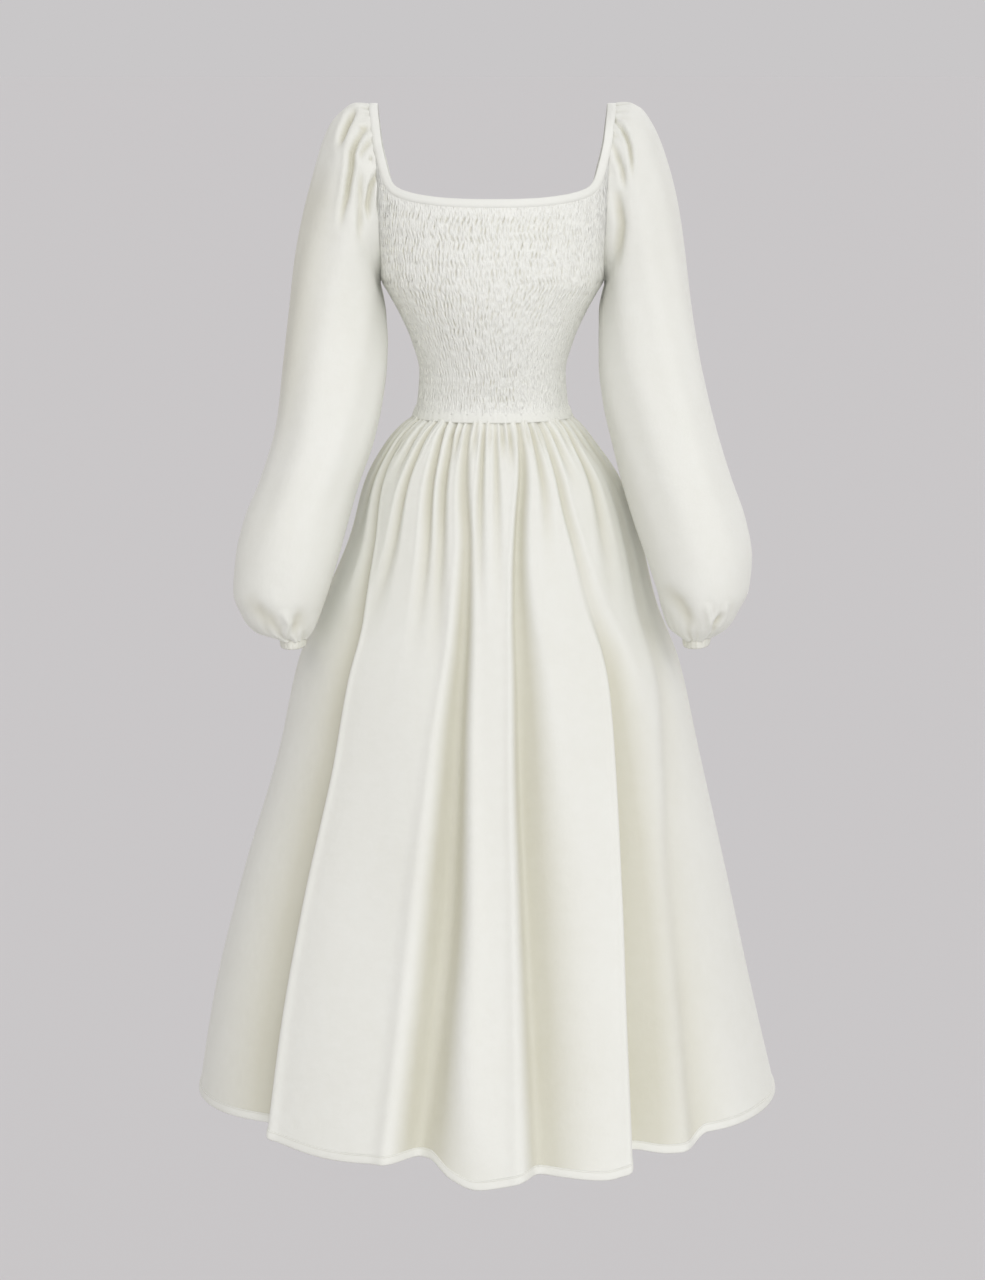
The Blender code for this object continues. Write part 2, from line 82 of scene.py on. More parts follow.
# Shirring: rows of elastic, wrinkles across a panel, and how far the cloth puffs out
ELASTIC_ROWS = 24
WRINKLES = 70
PUFF, CREASE = 0.0012, 0.0021
ROW_TOP = -0.104
SIDE_ROLL = 0.0008
# Painted shade over the upper bodice
UPPER_PAINTED_SHADE = 0.20

# Its chance: spare rows and wrinkles past the panel's edges, how much a crease leans, how strong it
# may be, how far it drifts along its row, how wide it is, and how softly one row runs into the next
SPARE_ROWS, ROWS_ABOVE = 60, 50
SPARE_WRINKLES, FIRST_WRINKLE = 12, 4
MOST_LEAN, MOST_STRENGTH = 0.9, 1.50
DRIFT, CREASE_WIDTH, ROW_BLEND = 0.75, 0.15, 0.12
ROW_WAVES = ((0.10, 9), (0.07, 23))
WANDER_RATES, WANDER_SHARES = (0.23, 0.61, 1.37), (0.5, 0.3, 0.2)

# Bodice: how far it reaches to each side, forward and back at each level
Level = namedtuple("Level", "z half front back")
BODICE = rows(
    Level,
    (-0.3490, 0.0905, 0.0800, 0.0710),
    (-0.3305, 0.0852, 0.0800, 0.0700),
    (-0.2980, 0.0828, 0.0880, 0.0730),
    (-0.2640, 0.0912, 0.0990, 0.0800),
    (-0.2310, 0.1056, 0.1085, 0.0880),
    (-0.2067, 0.1190, 0.1130, 0.0940),
    (-0.1950, 0.1250, 0.1140, 0.0955),
    (-0.1650, 0.1245, 0.1135, 0.0975),
    (-0.1370, 0.1255, 0.1090, 0.0985),
    (-0.0900, 0.1272, 0.0970, 0.0960),
    (-0.0530, 0.1288, 0.0907, 0.0907),
)

# How far forward the side of the bodice lies just inside the armhole seam, eased under the arm
Ease = namedtuple("Ease", "z depth")
UNDERARM_EASE = rows(
    Ease,
    (-0.2850, 0.0000), (-0.2500, 0.0040), (-0.2150, 0.0150), (-0.1850, 0.0330),
    (-0.1550, 0.0520), (-0.1250, 0.0660), (-0.0975, 0.0705), (-0.0600, 0.0652),
    (-0.0300, 0.0509), (0.0000, 0.0000),
)

# Skirt: the same, with the two sides as uneven as they hang
Flare = namedtuple("Flare", "z left right front back")
SKIRT = rows(
    Flare,
    (-1.1800, 0.3480, 0.3400, 0.2780, 0.2720),
    (-1.0163, 0.3219, 0.3010, 0.2500, 0.2480),
    (-0.8738, 0.2866, 0.2693, 0.2250, 0.2220),
    (-0.7328, 0.2449, 0.2368, 0.1980, 0.1960),
    (-0.6281, 0.2215, 0.2130, 0.1760, 0.1720),
    (-0.5588, 0.1931, 0.1862, 0.1600, 0.1540),
    (-0.4819, 0.1610, 0.1670, 0.1400, 0.1310),
    (-0.4213, 0.1444, 0.1456, 0.1220, 0.1110),
    (-0.3758, 0.1193, 0.1150, 0.0990, 0.0890),
    (-0.3560, 0.1010, 0.0990, 0.0850, 0.0760),
    (-0.3490, 0.0905, 0.0905, 0.0800, 0.0710),
)

# Main folds: the path of each valley from the hem up to the waist, in degrees from the middle of its
# panel, with its depth in millimetres and how wide it is to each side, in degrees
Fall = namedtuple("Fall", "z angle deep left right")
FRONT_FOLDS = (
    rows(
        Fall,
        (-1.17, -51.5, 30.0, 11.0, 2.6), (-0.85, -50.5, 24.0, 11.0, 2.2),
        (-0.60, -49.2, 14.0, 7.5, 2.0), (-0.49, -56.5, 7.0, 3.6, 1.9), (-0.43, -61.0, 5.0, 2.8, 2.0),
        (-0.349, -66.0, 3.0, 2.6, 2.4),
    ),
    rows(
        Fall,
        (-1.17, -15.6, 36.0, 3.0, 6.6), (-1.03, -13.2, 34.0, 3.5, 4.8), (-0.86, -11.0, 31.0, 4.0, 3.8),
        (-0.70, -10.4, 22.0, 3.5, 2.9), (-0.585, -9.6, 15.0, 2.7, 2.4), (-0.48, -10.2, 9.0, 2.5, 2.2),
        (-0.42, -12.6, 6.5, 2.4, 2.2), (-0.349, -16.2, 3.5, 2.2, 2.0),
    ),
    rows(
        Fall,
        (-1.17, 10.0, 27.0, 3.0, 6.4), (-0.86, 8.8, 26.0, 2.4, 6.6), (-0.70, 8.4, 22.0, 2.2, 5.6),
        (-0.585, 8.6, 15.0, 2.0, 4.6), (-0.52, 9.2, 13.0, 1.9, 3.2), (-0.45, 11.4, 11.0, 1.9, 2.4),
        (-0.39, 15.4, 7.5, 2.0, 2.2), (-0.349, 18.0, 3.5, 2.0, 2.0),
    ),
    rows(
        Fall,
        (-1.17, 30.5, 36.0, 2.4, 9.0), (-1.00, 32.5, 34.0, 2.2, 9.5), (-0.86, 35.0, 30.0, 2.0, 9.0),
        (-0.70, 38.4, 22.0, 2.0, 7.0), (-0.60, 39.6, 11.0, 2.2, 5.0), (-0.535, 36.6, 3.5, 2.4, 3.6),
        (-0.485, 34.6, 5.5, 2.0, 2.4), (-0.43, 32.4, 6.5, 1.9, 2.2), (-0.349, 35.2, 3.0, 2.2, 2.2),
    ),
    rows(
        Fall,
        (-1.17, 46.0, 13.0, 3.4, 6.0), (-1.00, 48.4, 8.0, 3.4, 6.5), (-0.86, 51.0, 5.0, 3.6, 7.0),
        (-0.63, 62.6, 4.0, 4.0, 5.0), (-0.45, 66.0, 2.0, 3.0, 3.0), (-0.349, 68.0, 1.0, 3.0, 3.0),
    ),
)
BACK_FOLDS = (
    rows(
        Fall,
        (-1.17, -62.0, 20.0, 4.4, 3.4), (-0.58, -66.0, 8.0, 4.0, 3.0), (-0.349, -70.0, 2.5, 2.6, 2.6),
    ),
    rows(
        Fall,
        (-1.17, -34.0, 24.0, 3.0, 6.4), (-0.58, -38.0, 11.0, 2.4, 5.0), (-0.349, -44.0, 3.0, 2.2, 2.6),
    ),
    rows(
        Fall,
        (-1.17, -8.0, 22.0, 5.6, 3.2), (-0.58, -9.0, 10.0, 4.2, 2.4), (-0.349, -13.0, 3.5, 2.4, 2.0),
    ),
    rows(
        Fall,
        (-1.17, 16.0, 23.0, 3.0, 5.6), (-0.58, 17.0, 11.0, 2.2, 4.2), (-0.349, 21.0, 3.5, 2.0, 2.6),
    ),
    rows(
        Fall,
        (-1.17, 40.0, 21.0, 6.0, 3.2), (-0.58, 41.0, 9.5, 5.0, 2.4), (-0.349, 46.0, 3.0, 2.8, 2.2),
    ),
    rows(
        Fall,
        (-1.17, 66.0, 20.0, 3.6, 4.6), (-0.58, 67.0, 8.0, 3.0, 4.0), (-0.349, 70.0, 2.5, 2.6, 2.6),
    ),
)

# The folds' form: how proud the edge of a steep side is, how sharp a gentle valley is, how deep a
# valley is, at three levels, where its painted shade is full, and how softly the panel's sides move
PROUD_EDGE, GENTLE_SHARP = 0.12, 1.35
FULL_SHADE_DEPTH = ((0.35, 0.60, 1.17), (0.0040, 0.0115, 0.0215))
SIDE_SOFTNESS = 0.3

# Small tucks between the folds, as sizes and rates round the panel, and the cloth's slack
TUCKS, TUCK_DEPTH = ((0.5, 0.93), (0.3, 1.71), (0.3, 2.63)), 0.0011
SKIRT_SLACK = 0.0014

# Gathers that fade below the waist: where each starts and ends, the level where it has gone, its
# depth in parts of a metre, counted by the unit, and its width in degrees
GATHER_UNIT = 850
Gather = namedtuple("Gather", "waist end gone deep wide")
FRONT_GATHERS = rows(
    Gather,
    (-81.0, -80.0, -0.430, 2.4, 2.6), (-73.5, -70.0, -0.520, 4.4, 2.4),
    (-60.5, -60.0, -0.400, 2.4, 2.0), (-53.0, -51.5, -0.430, 3.6, 2.0),
    (-43.6, -43.6, -0.600, 6.2, 2.0), (-34.8, -23.0, -0.640, 6.6, 1.8),
    (-27.6, -17.0, -0.660, 6.4, 1.8), (-21.8, -20.5, -0.400, 3.4, 1.5),
    (-10.8, -9.8, -0.395, 3.2, 1.4), (-5.6, -5.0, -0.600, 5.0, 1.3),
    (-1.6, -1.4, -0.385, 2.0, 1.2), (1.8, 2.0, -0.580, 3.6, 1.3),
    (6.4, 6.0, -0.395, 3.6, 1.3), (11.2, 10.0, -0.410, 3.8, 1.4),
    (22.4, 21.0, -0.385, 2.4, 1.4), (27.0, 21.5, -0.520, 5.0, 1.8),
    (31.4, 29.0, -0.390, 2.8, 1.5), (42.0, 40.0, -0.430, 3.6, 1.8),
    (50.0, 47.5, -0.390, 2.4, 1.8), (57.0, 46.5, -0.580, 5.0, 2.4),
    (66.0, 63.0, -0.410, 3.0, 2.4), (74.0, 72.0, -0.470, 3.4, 2.6),
)
BACK_GATHERS = rows(
    Gather,
    (-80.0, -79.0, -0.450, 2.6, 2.4), (-62.0, -58.0, -0.540, 4.6, 2.2),
    (-53.0, -51.0, -0.430, 3.6, 2.0), (-35.0, -31.0, -0.560, 5.4, 1.9),
    (-28.0, -23.0, -0.640, 6.2, 1.8), (-21.0, -19.0, -0.420, 3.4, 1.6),
    (-5.0, -3.0, -0.600, 5.6, 1.6), (1.0, 1.5, -0.410, 3.4, 1.4),
    (6.5, 7.0, -0.650, 6.2, 1.7), (13.0, 12.0, -0.440, 4.0, 1.6),
    (29.0, 26.0, -0.590, 5.4, 1.9), (35.5, 33.0, -0.430, 3.6, 1.7),
    (55.0, 52.0, -0.560, 4.8, 2.0), (62.0, 60.0, -0.420, 3.2, 2.0),
    (79.0, 78.0, -0.480, 2.6, 2.4),
)

# Hem height round each panel
Hem = namedtuple("Hem", "angle z")
FRONT_HEM = rows(
    Hem,
    (-90.0, -1.129), (-52.0, -1.129), (-46.0, -1.137), (-30.0, -1.146),
    (-13.0, -1.143), (-8.0, -1.159), (-3.0, -1.168), (2.0, -1.164), (7.0, -1.158),
    (14.0, -1.160), (22.0, -1.163), (27.0, -1.156), (31.0, -1.143),
    (38.0, -1.148), (44.0, -1.146), (49.0, -1.133), (90.0, -1.129),
)
BACK_HEM = rows(
    Hem,
    (-90.0, -1.129), (-62.0, -1.132), (-48.0, -1.140), (-34.0, -1.136),
    (-20.0, -1.148), (-8.0, -1.142), (4.0, -1.151), (16.0, -1.142),
    (28.0, -1.147), (40.0, -1.136), (53.0, -1.140), (66.0, -1.131), (90.0, -1.129),
)

# Neck edge from the middle to the shoulder top: how far out and down it lies, and which way the
# casing runs from it, in degrees below level
Neck = namedtuple("Neck", "x drop turn")
SHOULDER = rows(
    Neck,
    (0.1190, 0.0560, 16.0), (0.1222, 0.0420, 12.0), (0.1245, 0.0260, 9.0),
    (0.1265, 0.0120, 4.0), (0.1278, 0.0030, 1.0),
)
FRONT_NECK = rows(
    Neck,
    (0.0000, 0.1018, 90.0), (0.0240, 0.1016, 89.0), (0.0500, 0.1006, 86.0),
    (0.0740, 0.0981, 82.0), (0.0910, 0.0949, 75.0), (0.1015, 0.0913, 65.0),
    (0.1077, 0.0872, 49.0), (0.1118, 0.0808, 33.0), (0.1151, 0.0708, 22.0),
) + SHOULDER
BACK_NECK = rows(
    Neck,
    (0.0000, 0.1300, 90.0), (0.0300, 0.1295, 89.0), (0.0580, 0.1275, 84.0),
    (0.0800, 0.1242, 79.0), (0.0950, 0.1200, 70.0), (0.1045, 0.1140, 56.0),
    (0.1105, 0.1040, 38.0), (0.1148, 0.0890, 25.0), (0.1186, 0.0720, 20.0),
    (0.1224, 0.0560, 16.0), (0.1250, 0.0420, 12.0), (0.1267, 0.0260, 9.0),
    (0.1277, 0.0120, 4.0), (0.1280, 0.0030, 1.0),
)
SHOULDER_TOP = Neck(0.1280, 0.0000, 0.0)

# Neck casing, across its width: share of the width from the neck edge, with its height in millimetres
# at the front and back, and over the straps
Profile = namedtuple("Profile", "share lift strap")
CASING_PROFILE = rows(
    Profile,
    (0.00, -0.6, -0.6), (-0.05, 0.2, 0.0), (-0.03, 0.9, 0.5), (0.06, 1.6, 0.9),
    (0.20, 1.8, 1.1), (0.33, 1.6, 1.2), (0.42, 1.0, 1.2), (0.455, 0.3, 1.2),
    (0.49, 0.3, 1.2), (0.53, 0.8, 1.15), (0.64, 1.1, 1.05), (0.82, 0.9, 0.7),
    (0.96, 0.4, 0.3), (1.03, -0.2, -0.1), (1.00, -0.9, -0.9),
    (0.55, -1.0, -1.0), (0.15, -0.9, -0.9),
)

# Sleeves: each ring is an ellipse whose long diameter runs from an outer to an inner point
Ring = namedtuple("Ring", "out_x out_z in_x in_z middle_y depth")
SLEEVES = {
    "left": rows(
        Ring,
        (0.1375, 0.0000, 0.1255, -0.1950, 0.000, 0.0705),
        (0.1510, 0.0010, 0.1262, -0.1990, -0.001, 0.0725),
        (0.1640, -0.0045, 0.1264, -0.2030, -0.002, 0.0745),
        (0.1795, -0.0200, 0.1245, -0.2100, -0.003, 0.0760),
        (0.1890, -0.0400, 0.1215, -0.2180, -0.004, 0.0765),
        (0.2010, -0.0830, 0.1185, -0.2300, -0.007, 0.0760),
        (0.2110, -0.1250, 0.1175, -0.2450, -0.011, 0.0750),
        (0.2200, -0.1700, 0.1165, -0.2640, -0.017, 0.0740),
        (0.2270, -0.2220, 0.1172, -0.2900, -0.026, 0.0730),
        (0.2350, -0.2850, 0.1225, -0.3300, -0.038, 0.0730),
        (0.2425, -0.3500, 0.1330, -0.3750, -0.050, 0.0745),
        (0.2600, -0.4130, 0.1500, -0.4230, -0.062, 0.0760),
        (0.2765, -0.4560, 0.1610, -0.4620, -0.071, 0.0760),
        (0.2855, -0.4980, 0.1715, -0.5010, -0.077, 0.0740),
        (0.2885, -0.5360, 0.1825, -0.5360, -0.080, 0.0680),
        (0.2810, -0.5590, 0.1905, -0.5580, -0.081, 0.0600),
        (0.2650, -0.5790, 0.1985, -0.5760, -0.082, 0.0470),
        (0.2380, -0.5890, 0.2070, -0.5880, -0.082, 0.0330),
    ),
    "right": rows(
        Ring,
        (0.1375, 0.0000, 0.1255, -0.1950, 0.000, 0.0705),
        (0.1510, 0.0010, 0.1262, -0.1990, -0.001, 0.0725),
        (0.1640, -0.0040, 0.1264, -0.2030, -0.002, 0.0745),
        (0.1775, -0.0220, 0.1245, -0.2100, -0.003, 0.0760),
        (0.1860, -0.0400, 0.1225, -0.2180, -0.004, 0.0765),
        (0.1990, -0.0830, 0.1200, -0.2300, -0.007, 0.0760),
        (0.2075, -0.1250, 0.1192, -0.2450, -0.011, 0.0750),
        (0.2145, -0.1700, 0.1185, -0.2640, -0.017, 0.0740),
        (0.2220, -0.2220, 0.1188, -0.2900, -0.026, 0.0730),
        (0.2335, -0.2850, 0.1240, -0.3300, -0.038, 0.0730),
        (0.2490, -0.3500, 0.1350, -0.3750, -0.050, 0.0745),
        (0.2675, -0.4130, 0.1475, -0.4230, -0.062, 0.0760),
        (0.2815, -0.4560, 0.1590, -0.4620, -0.071, 0.0760),
        (0.2885, -0.4980, 0.1720, -0.5010, -0.077, 0.0740),
        (0.2855, -0.5340, 0.1835, -0.5360, -0.080, 0.0680),
        (0.2760, -0.5550, 0.1900, -0.5580, -0.081, 0.0600),
        (0.2630, -0.5740, 0.1975, -0.5770, -0.082, 0.0470),
        (0.2440, -0.5860, 0.2120, -0.5890, -0.082, 0.0330),
    ),
}
SIGNS = {"left": -1.0, "right": 1.0}
FIT_REACH = 0.16
CUFF_HEIGHT, CUFF_TUCK, CUFF_RISE = 0.009, 0.001, 0.002
CUFF_RIPPLES = ((0.6, 19), (0.4, 31))

# A sleeve's small forms: puckers at its head and gathers at its wrist, as sizes and rates round it,
# how deep they and its faint hanging folds are, its slack, and how far its seam is turned in
HEAD_PUCKERS, PUCKER_DEPTH = ((0.6, 17), (0.5, 26), (0.35, 41)), 0.0014
WRIST_GATHERS, WRIST_DEPTH = ((0.70, 7), (0.5, 13), (0.35, 21)), 0.0013
HANG_DEPTH, SLEEVE_SLACK, TURNED_IN = 0.0007, 0.0012, 0.0004

# Sleeve creases, seen from the front (or the back): a line of (x, z) points in metres, with the
# depth and the half width in millimetres. A crease with a minus depth is a ridge. They are modelled
# deeper by the gain, and their painted shade is full at the last depth.
CREASE_GAIN, SLEEVE_FULL_SHADE_DEPTH = 2.1, 0.0042
Crease = namedtuple("Crease", "side deep wide line")
SLEEVE_CREASES = {
    "left": (
        Crease("front", 3.6, 3.2, (
            (-0.1535, -0.008), (-0.1616, -0.0237), (-0.1662, -0.0352), (-0.1696, -0.046),
        )),
        Crease("front", 1.2, 1.6, ((-0.1469, -0.0237), (-0.1360, -0.0237))),
        Crease("front", 3.6, 3.4, (
            (-0.1416, -0.0276), (-0.1498, -0.0406), (-0.1543, -0.0525), (-0.1551, -0.0684),
            (-0.1578, -0.0841), (-0.1599, -0.0971), (-0.1646, -0.1156), (-0.1673, -0.133),
        )),
        Crease("front", 1.8, 3.0, ((-0.1331, -0.0381), (-0.1433, -0.0499), (-0.1484, -0.0631))),
        Crease("front", 1.6, 1.8, ((-0.1330, -0.0570), (-0.1350, -0.0610))),
        Crease("front", 2.8, 3.2, (
            (-0.1271, -0.0749), (-0.1339, -0.0895), (-0.1366, -0.1091), (-0.1353, -0.1321),
        )),
        Crease("front", 1.8, 1.8, ((-0.1235, -0.0841), (-0.1255, -0.0988), (-0.1262, -0.1206))),
        Crease("front", 1.8, 4.0, ((-0.1450, -0.0765), (-0.1440, -0.1026), (-0.1463, -0.1508))),
        Crease("back", 3.2, 3.2, (
            (-0.1500, -0.010), (-0.1600, -0.030), (-0.1650, -0.060), (-0.1680, -0.095),
        )),
        Crease("back", 3.0, 3.2, (
            (-0.1400, -0.026), (-0.1500, -0.046), (-0.1530, -0.080), (-0.1560, -0.130),
        )),
        Crease("back", 2.4, 2.8, (
            (-0.1310, -0.042), (-0.1400, -0.065), (-0.1420, -0.100), (-0.1430, -0.140),
        )),
    ),
    "right": (
        Crease("front", 2.4, 2.2, (
            (0.1341, -0.0167), (0.1415, -0.0249), (0.1467, -0.0335), (0.1504, -0.0438),
            (0.1526, -0.0597), (0.1532, -0.0800),
        )),
        Crease("front", 1.8, 3.0, (
            (0.1320, -0.0423), (0.1372, -0.0554), (0.1425, -0.0715), (0.1454, -0.0959),
        )),
        Crease("front", 2.0, 5.0, (
            (0.1374, -0.0977), (0.1411, -0.1298), (0.1382, -0.1588), (0.1375, -0.1806),
        )),
        Crease("back", 3.0, 3.0, (
            (0.1480, -0.009), (0.1580, -0.026), (0.1640, -0.055), (0.1670, -0.100),
        )),
        Crease("back", 2.6, 3.0, (
            (0.1390, -0.028), (0.1490, -0.048), (0.1530, -0.080), (0.1540, -0.120),
        )),
        Crease("back", 2.4, 2.8, (
            (0.1310, -0.048), (0.1390, -0.070), (0.1410, -0.105), (0.1400, -0.150),
        )),
    ),
}
CUFF_CREASES = {
    "left": (
        Crease("front", -1.4, 3.2, (
            (-0.2294, -0.5529), (-0.2251, -0.5650), (-0.2281, -0.5775), (-0.2297, -0.5893),
        )),
        Crease("front", 1.5, 10.0, ((-0.2650, -0.5420), (-0.2480, -0.5610), (-0.2370, -0.5800))),
        Crease("front", 1.5, 6.5, ((-0.2120, -0.5520), (-0.2140, -0.5660), (-0.2210, -0.5800))),
        Crease("back", 1.6, 6.0, ((-0.2550, -0.5450), (-0.2440, -0.5650), (-0.2350, -0.5850))),
        Crease("back", 1.6, 6.0, ((-0.2200, -0.5480), (-0.2210, -0.5680), (-0.2230, -0.5850))),
    ),
    "right": (
        Crease("front", -1.2, 3.0, ((0.2359, -0.5440), (0.2394, -0.5629), (0.2417, -0.5741))),
        Crease("front", -1.0, 3.0, ((0.2578, -0.5433), (0.2549, -0.5663))),
        Crease("front", 1.6, 3.0, ((0.2526, -0.5562), (0.2437, -0.5685), (0.2438, -0.5783))),
        Crease("front", 1.6, 8.0, (
            (0.1960, -0.5300), (0.2050, -0.5400), (0.2120, -0.5520), (0.2170, -0.5640),
            (0.2218, -0.5741),
        )),
        Crease("back", 1.6, 6.0, ((0.2520, -0.5450), (0.2440, -0.5650), (0.2380, -0.5850))),
        Crease("back", 1.6, 6.0, ((0.2180, -0.5480), (0.2230, -0.5680), (0.2260, -0.5850))),
    ),
}

# How finely each sheet is divided, across or round it and then down it
BODICE_CELLS = {"front": (432, 112), "back": (320, 92)}
SKIRT_CELLS = {"front": (380, 118), "back": (290, 104)}
HEM_ROWS, NECK_COLUMNS = 8, 520
SLEEVE_CELLS, CUFF_CELLS, WAIST_CELLS = (190, 168), (150, 8), (480, 10)

# The size in metres that the weave and the stitches take each sheet to be
BODICE_MAP, SKIRT_MAP, HEM_MAP = (0.36, 0.235), (0.95, 0.80), (1.10, HEM_WIDTH)
SLEEVE_MAP, CUFF_MAP = (0.42, 0.62), (0.17, 0.011)
NECK_MAP, WAIST_MAP = (1.05, 0.022), (0.53, 0.013)

# Colours of the cotton, each with the painted shade of its hollows
IVORY, IVORY_PAINTED_SHADE = (0.850, 0.855, 0.797, 1.0), (0.665, 0.650, 0.535, 1.0)
# The shirred ivory is the ivory made lighter: painted light on the bodice
SHIRRED_IVORY_PAINTED_LIGHTER = (0.897, 0.902, 0.845, 1.0)
TRIM, TRIM_SHADE = (0.85, 0.855, 0.80, 1.0), (0.76, 0.76, 0.67, 1.0)

# The cotton's make: pitch of the weave and how far slubs shift it, how much each feature changes the
# tone, from 0 for the painted shade to 1 for the full colour, and how far it rises, in metres
WEAVE, SLUB_SHIFT = 0.00055, 0.00016
PLAIN_TONE, PAINTED_SHADE_TONE = 0.90, 0.76
CLOUD_TONE, CREPE_TONE, THREAD_TONE = 0.25, 0.15, 0.03
THREAD_RISE, SLUB_RISE, CREPE_RISE = 0.00003, 0.00008, 0.0006
SHIRRED_CREPE = 1.3
CRUMPLE_ACROSS, CRUMPLE_DOWN = 480.0, 140.0
# The crumple's tone is painted shade in its low spots and painted light on its high spots
CRUMPLE_RISE, CRUMPLE_PAINTED_SHADE_AND_LIGHT, CRUMPLE_MEAN = 0.0026, 1.1, 0.30

# Rows of stitches: where the row lies down the sheet, half its width, and the length of a stitch
Stitches = namedtuple("Stitches", "at wide pitch")
HEM_STITCHES = Stitches(-0.0014, 0.0005, 0.0026)
NECK_STITCHES = Stitches(-0.0093, 0.0005, 0.0024)
THREAD_LIFT, SEAM_DENT, STITCH_TONE = 0.0004, 0.0003, 0.35

# The camera: the photograph is taken from four metres in front, at the height of the shoulders
CAMERA_PLACE = Vector((0.0, -4.0, 0.05))
CAMERA_AIM = Vector((0.0, 0.0, -0.605))
LENS, SENSOR = 99.9, 36.0

# The studio: an even pale grey, a floor of the same grey well below the dress, and soft lights, each
# with the way it lies from the dress, how wide it looks in degrees, its colour and its strength
FLOOR_LEVEL, FLOOR_REACH = -3.0, 600.0
FLOOR_TINT = (0.647, 0.636, 0.636, 1.0)
STUDIO_TINT = (0.584, 0.571, 0.578, 1.0)
LIGHTS = (
    ("key", (0.32, -1.0, 0.48), 46.0, (0.97, 0.98, 1.03), 0.82),
    ("front fill", (0.03, -1.0, 0.12), 10.0, (0.99, 1.0, 1.0), 0.37),
    ("right fill", (1.0, -0.75, 0.35), 70.0, (1.0, 1.0, 1.0), 0.40),
    ("left fill", (-1.0, -0.9, 0.3), 60.0, (1.0, 1.0, 0.97), 0.16),
    ("back", (0.2, 1.0, 0.6), 40.0, (1.0, 1.0, 1.0), 0.95),
)

FULL_TURN = 2 * math.pi


def smooth(places, heights, at):
    """Heights of a smooth curve through the given places (rising), which never overshoots them."""
    places, heights = np.asarray(places, float), np.asarray(heights, float)
    steps = np.diff(places)
    slopes = np.diff(heights) / steps
    same = slopes[:-1] * slopes[1:] > 0
    total = np.where(same, slopes[:-1] + slopes[1:], 1.0)
    inner = np.where(same, 2 * slopes[:-1] * slopes[1:] / total, 0.0)
    tangents = np.concatenate([slopes[:1], inner, slopes[-1:]])
    i = np.clip(np.searchsorted(places, at, side="right") - 1, 0, len(steps) - 1)
    f = np.clip((at - places[i]) / steps[i], 0.0, 1.0)
    rise = heights[i] + (3 * f**2 - 2 * f**3) * (heights[i + 1] - heights[i])
    return rise + steps[i] * ((f**3 - 2 * f**2 + f) * tangents[i] + (f**3 - f**2) * tangents[i + 1])


def column(table, name):
    """One column of a table, by its name."""
    return [getattr(row, name) for row in table]


def at_level(table, name, z):
    """A table's value at each level, on a smooth curve through its rows."""
    return smooth(column(table, "z"), column(table, name), z)


def fade(start, end, at):
    """1 at start and before, 0 at end and after, with a soft change between."""
    f = np.clip((at - start) / (end - start), 0.0, 1.0)
    return 1 - f * f * (3 - 2 * f)


def ripples(waves, at, starts):
    """Several waves together: each has a size and a rate, and its own start."""
    return sum(size * np.sin(rate * at + start) for (size, rate), start in zip(waves, starts))


def seam_depth(z):
    """How far forward or back the armhole seam lies at a level."""
    height = (z + ARMHOLE_RISE) / ARMHOLE_RISE
    return ARMHOLE_DEPTH * np.sqrt(np.clip(1 - height**2, 0.0, 1.0))


def bodice_half(z):
    """How far the bodice reaches to each side at a level."""
    return at_level(BODICE, "half", z)


def torso_depth(face, across, z):
    """How far the bodice stands out at a level, across from -1 at one side to 1 at the other."""
    eased = at_level(UNDERARM_EASE, "depth", z)
    seam = eased + (seam_depth(z) - eased) * np.abs(across) ** SEAM_HUG
    middle = np.where(z > STRAP_TIP, seam + STRAP_RISE * z / STRAP_TIP, at_level(BODICE, face, z))
    chest = fade(-CHEST_TOP, -UNDERARM, -z)
    power = WAIST_POWER + (CHEST_POWER - WAIST_POWER) * chest
    return seam + (middle - seam) * np.clip(1 - across**2, 0.0, 1.0) ** power


def neck_lines(face, offset):
    """Half of the neck edge, or of a line beside it, as smooth x and z values from the middle out."""
    table = (FRONT_NECK if face == "front" else BACK_NECK) + (SHOULDER_TOP,)
    steps = np.arange(len(table))
    at = np.linspace(0, len(table) - 1, NECK_FINENESS * (len(table) - 1) + 1)
    x, z = (smooth(steps, column(table, name), at) for name in ("x", "drop"))
    turn = np.radians(smooth(steps, column(table, "turn"), at))
    return x + offset * np.cos(turn), -z - offset * np.sin(turn)


def seam_half(z):
    """How far out the sleeve seam lies, from the underarm up over the shoulder."""
    x, height = neck_lines("front", CASING_WIDTH + SEAM)
    strap = height > STRAP_TIP - STRAP_MARGIN
    casing = np.interp(z, height[strap], x[strap])
    return np.where(z > STRAP_TIP, np.maximum(casing, bodice_half(STRAP_TIP)), bodice_half(z)) + SEAM


def top_edge(face, across, under=0.0):
    """Level of the bodice panel's upper edge, or of a line a little way under the neck casing."""
    x, z = neck_lines(face, CASING_WIDTH + SEAM - under)
    return np.interp(np.abs(across), x / bodice_half(z), z)


def bodice_across(across):
    """Where a bodice point lies, from -1 at one side to 1 at the other, on a panel bent round the body."""
    widest = math.radians(BODICE_TURN)
    return np.sin((2 * across - 1) * widest) / math.sin(widest)


def bodice_place(face):
    """Places points of a bodice panel, from under the neck casing down to under the waist casing."""
    sign = -1.0 if face == "front" else 1.0

    def place(across, down):
        s = bodice_across(across)
        top = top_edge(face, s, PANEL_TUCK)
        z = top + (WAIST_TOP - PANEL_TUCK - top) * down
        return np.stack([s * bodice_half(z), sign * torso_depth(face, s, z), z], axis=1)

    return place


def wander(rng, count, at):
    """A slow, uneven wave for each of several rows: at gives the place along the row."""
    starts = rng.uniform(0, FULL_TURN, (count, 3))
    rates = rng.uniform(0.7, 1.3, (count, 3)) * WANDER_RATES

    def waves(row):
        return sum(
            share * np.sin(at * rates[row, k] + starts[row, k]) for k, share in enumerate(WANDER_SHARES)
        )

    return waves


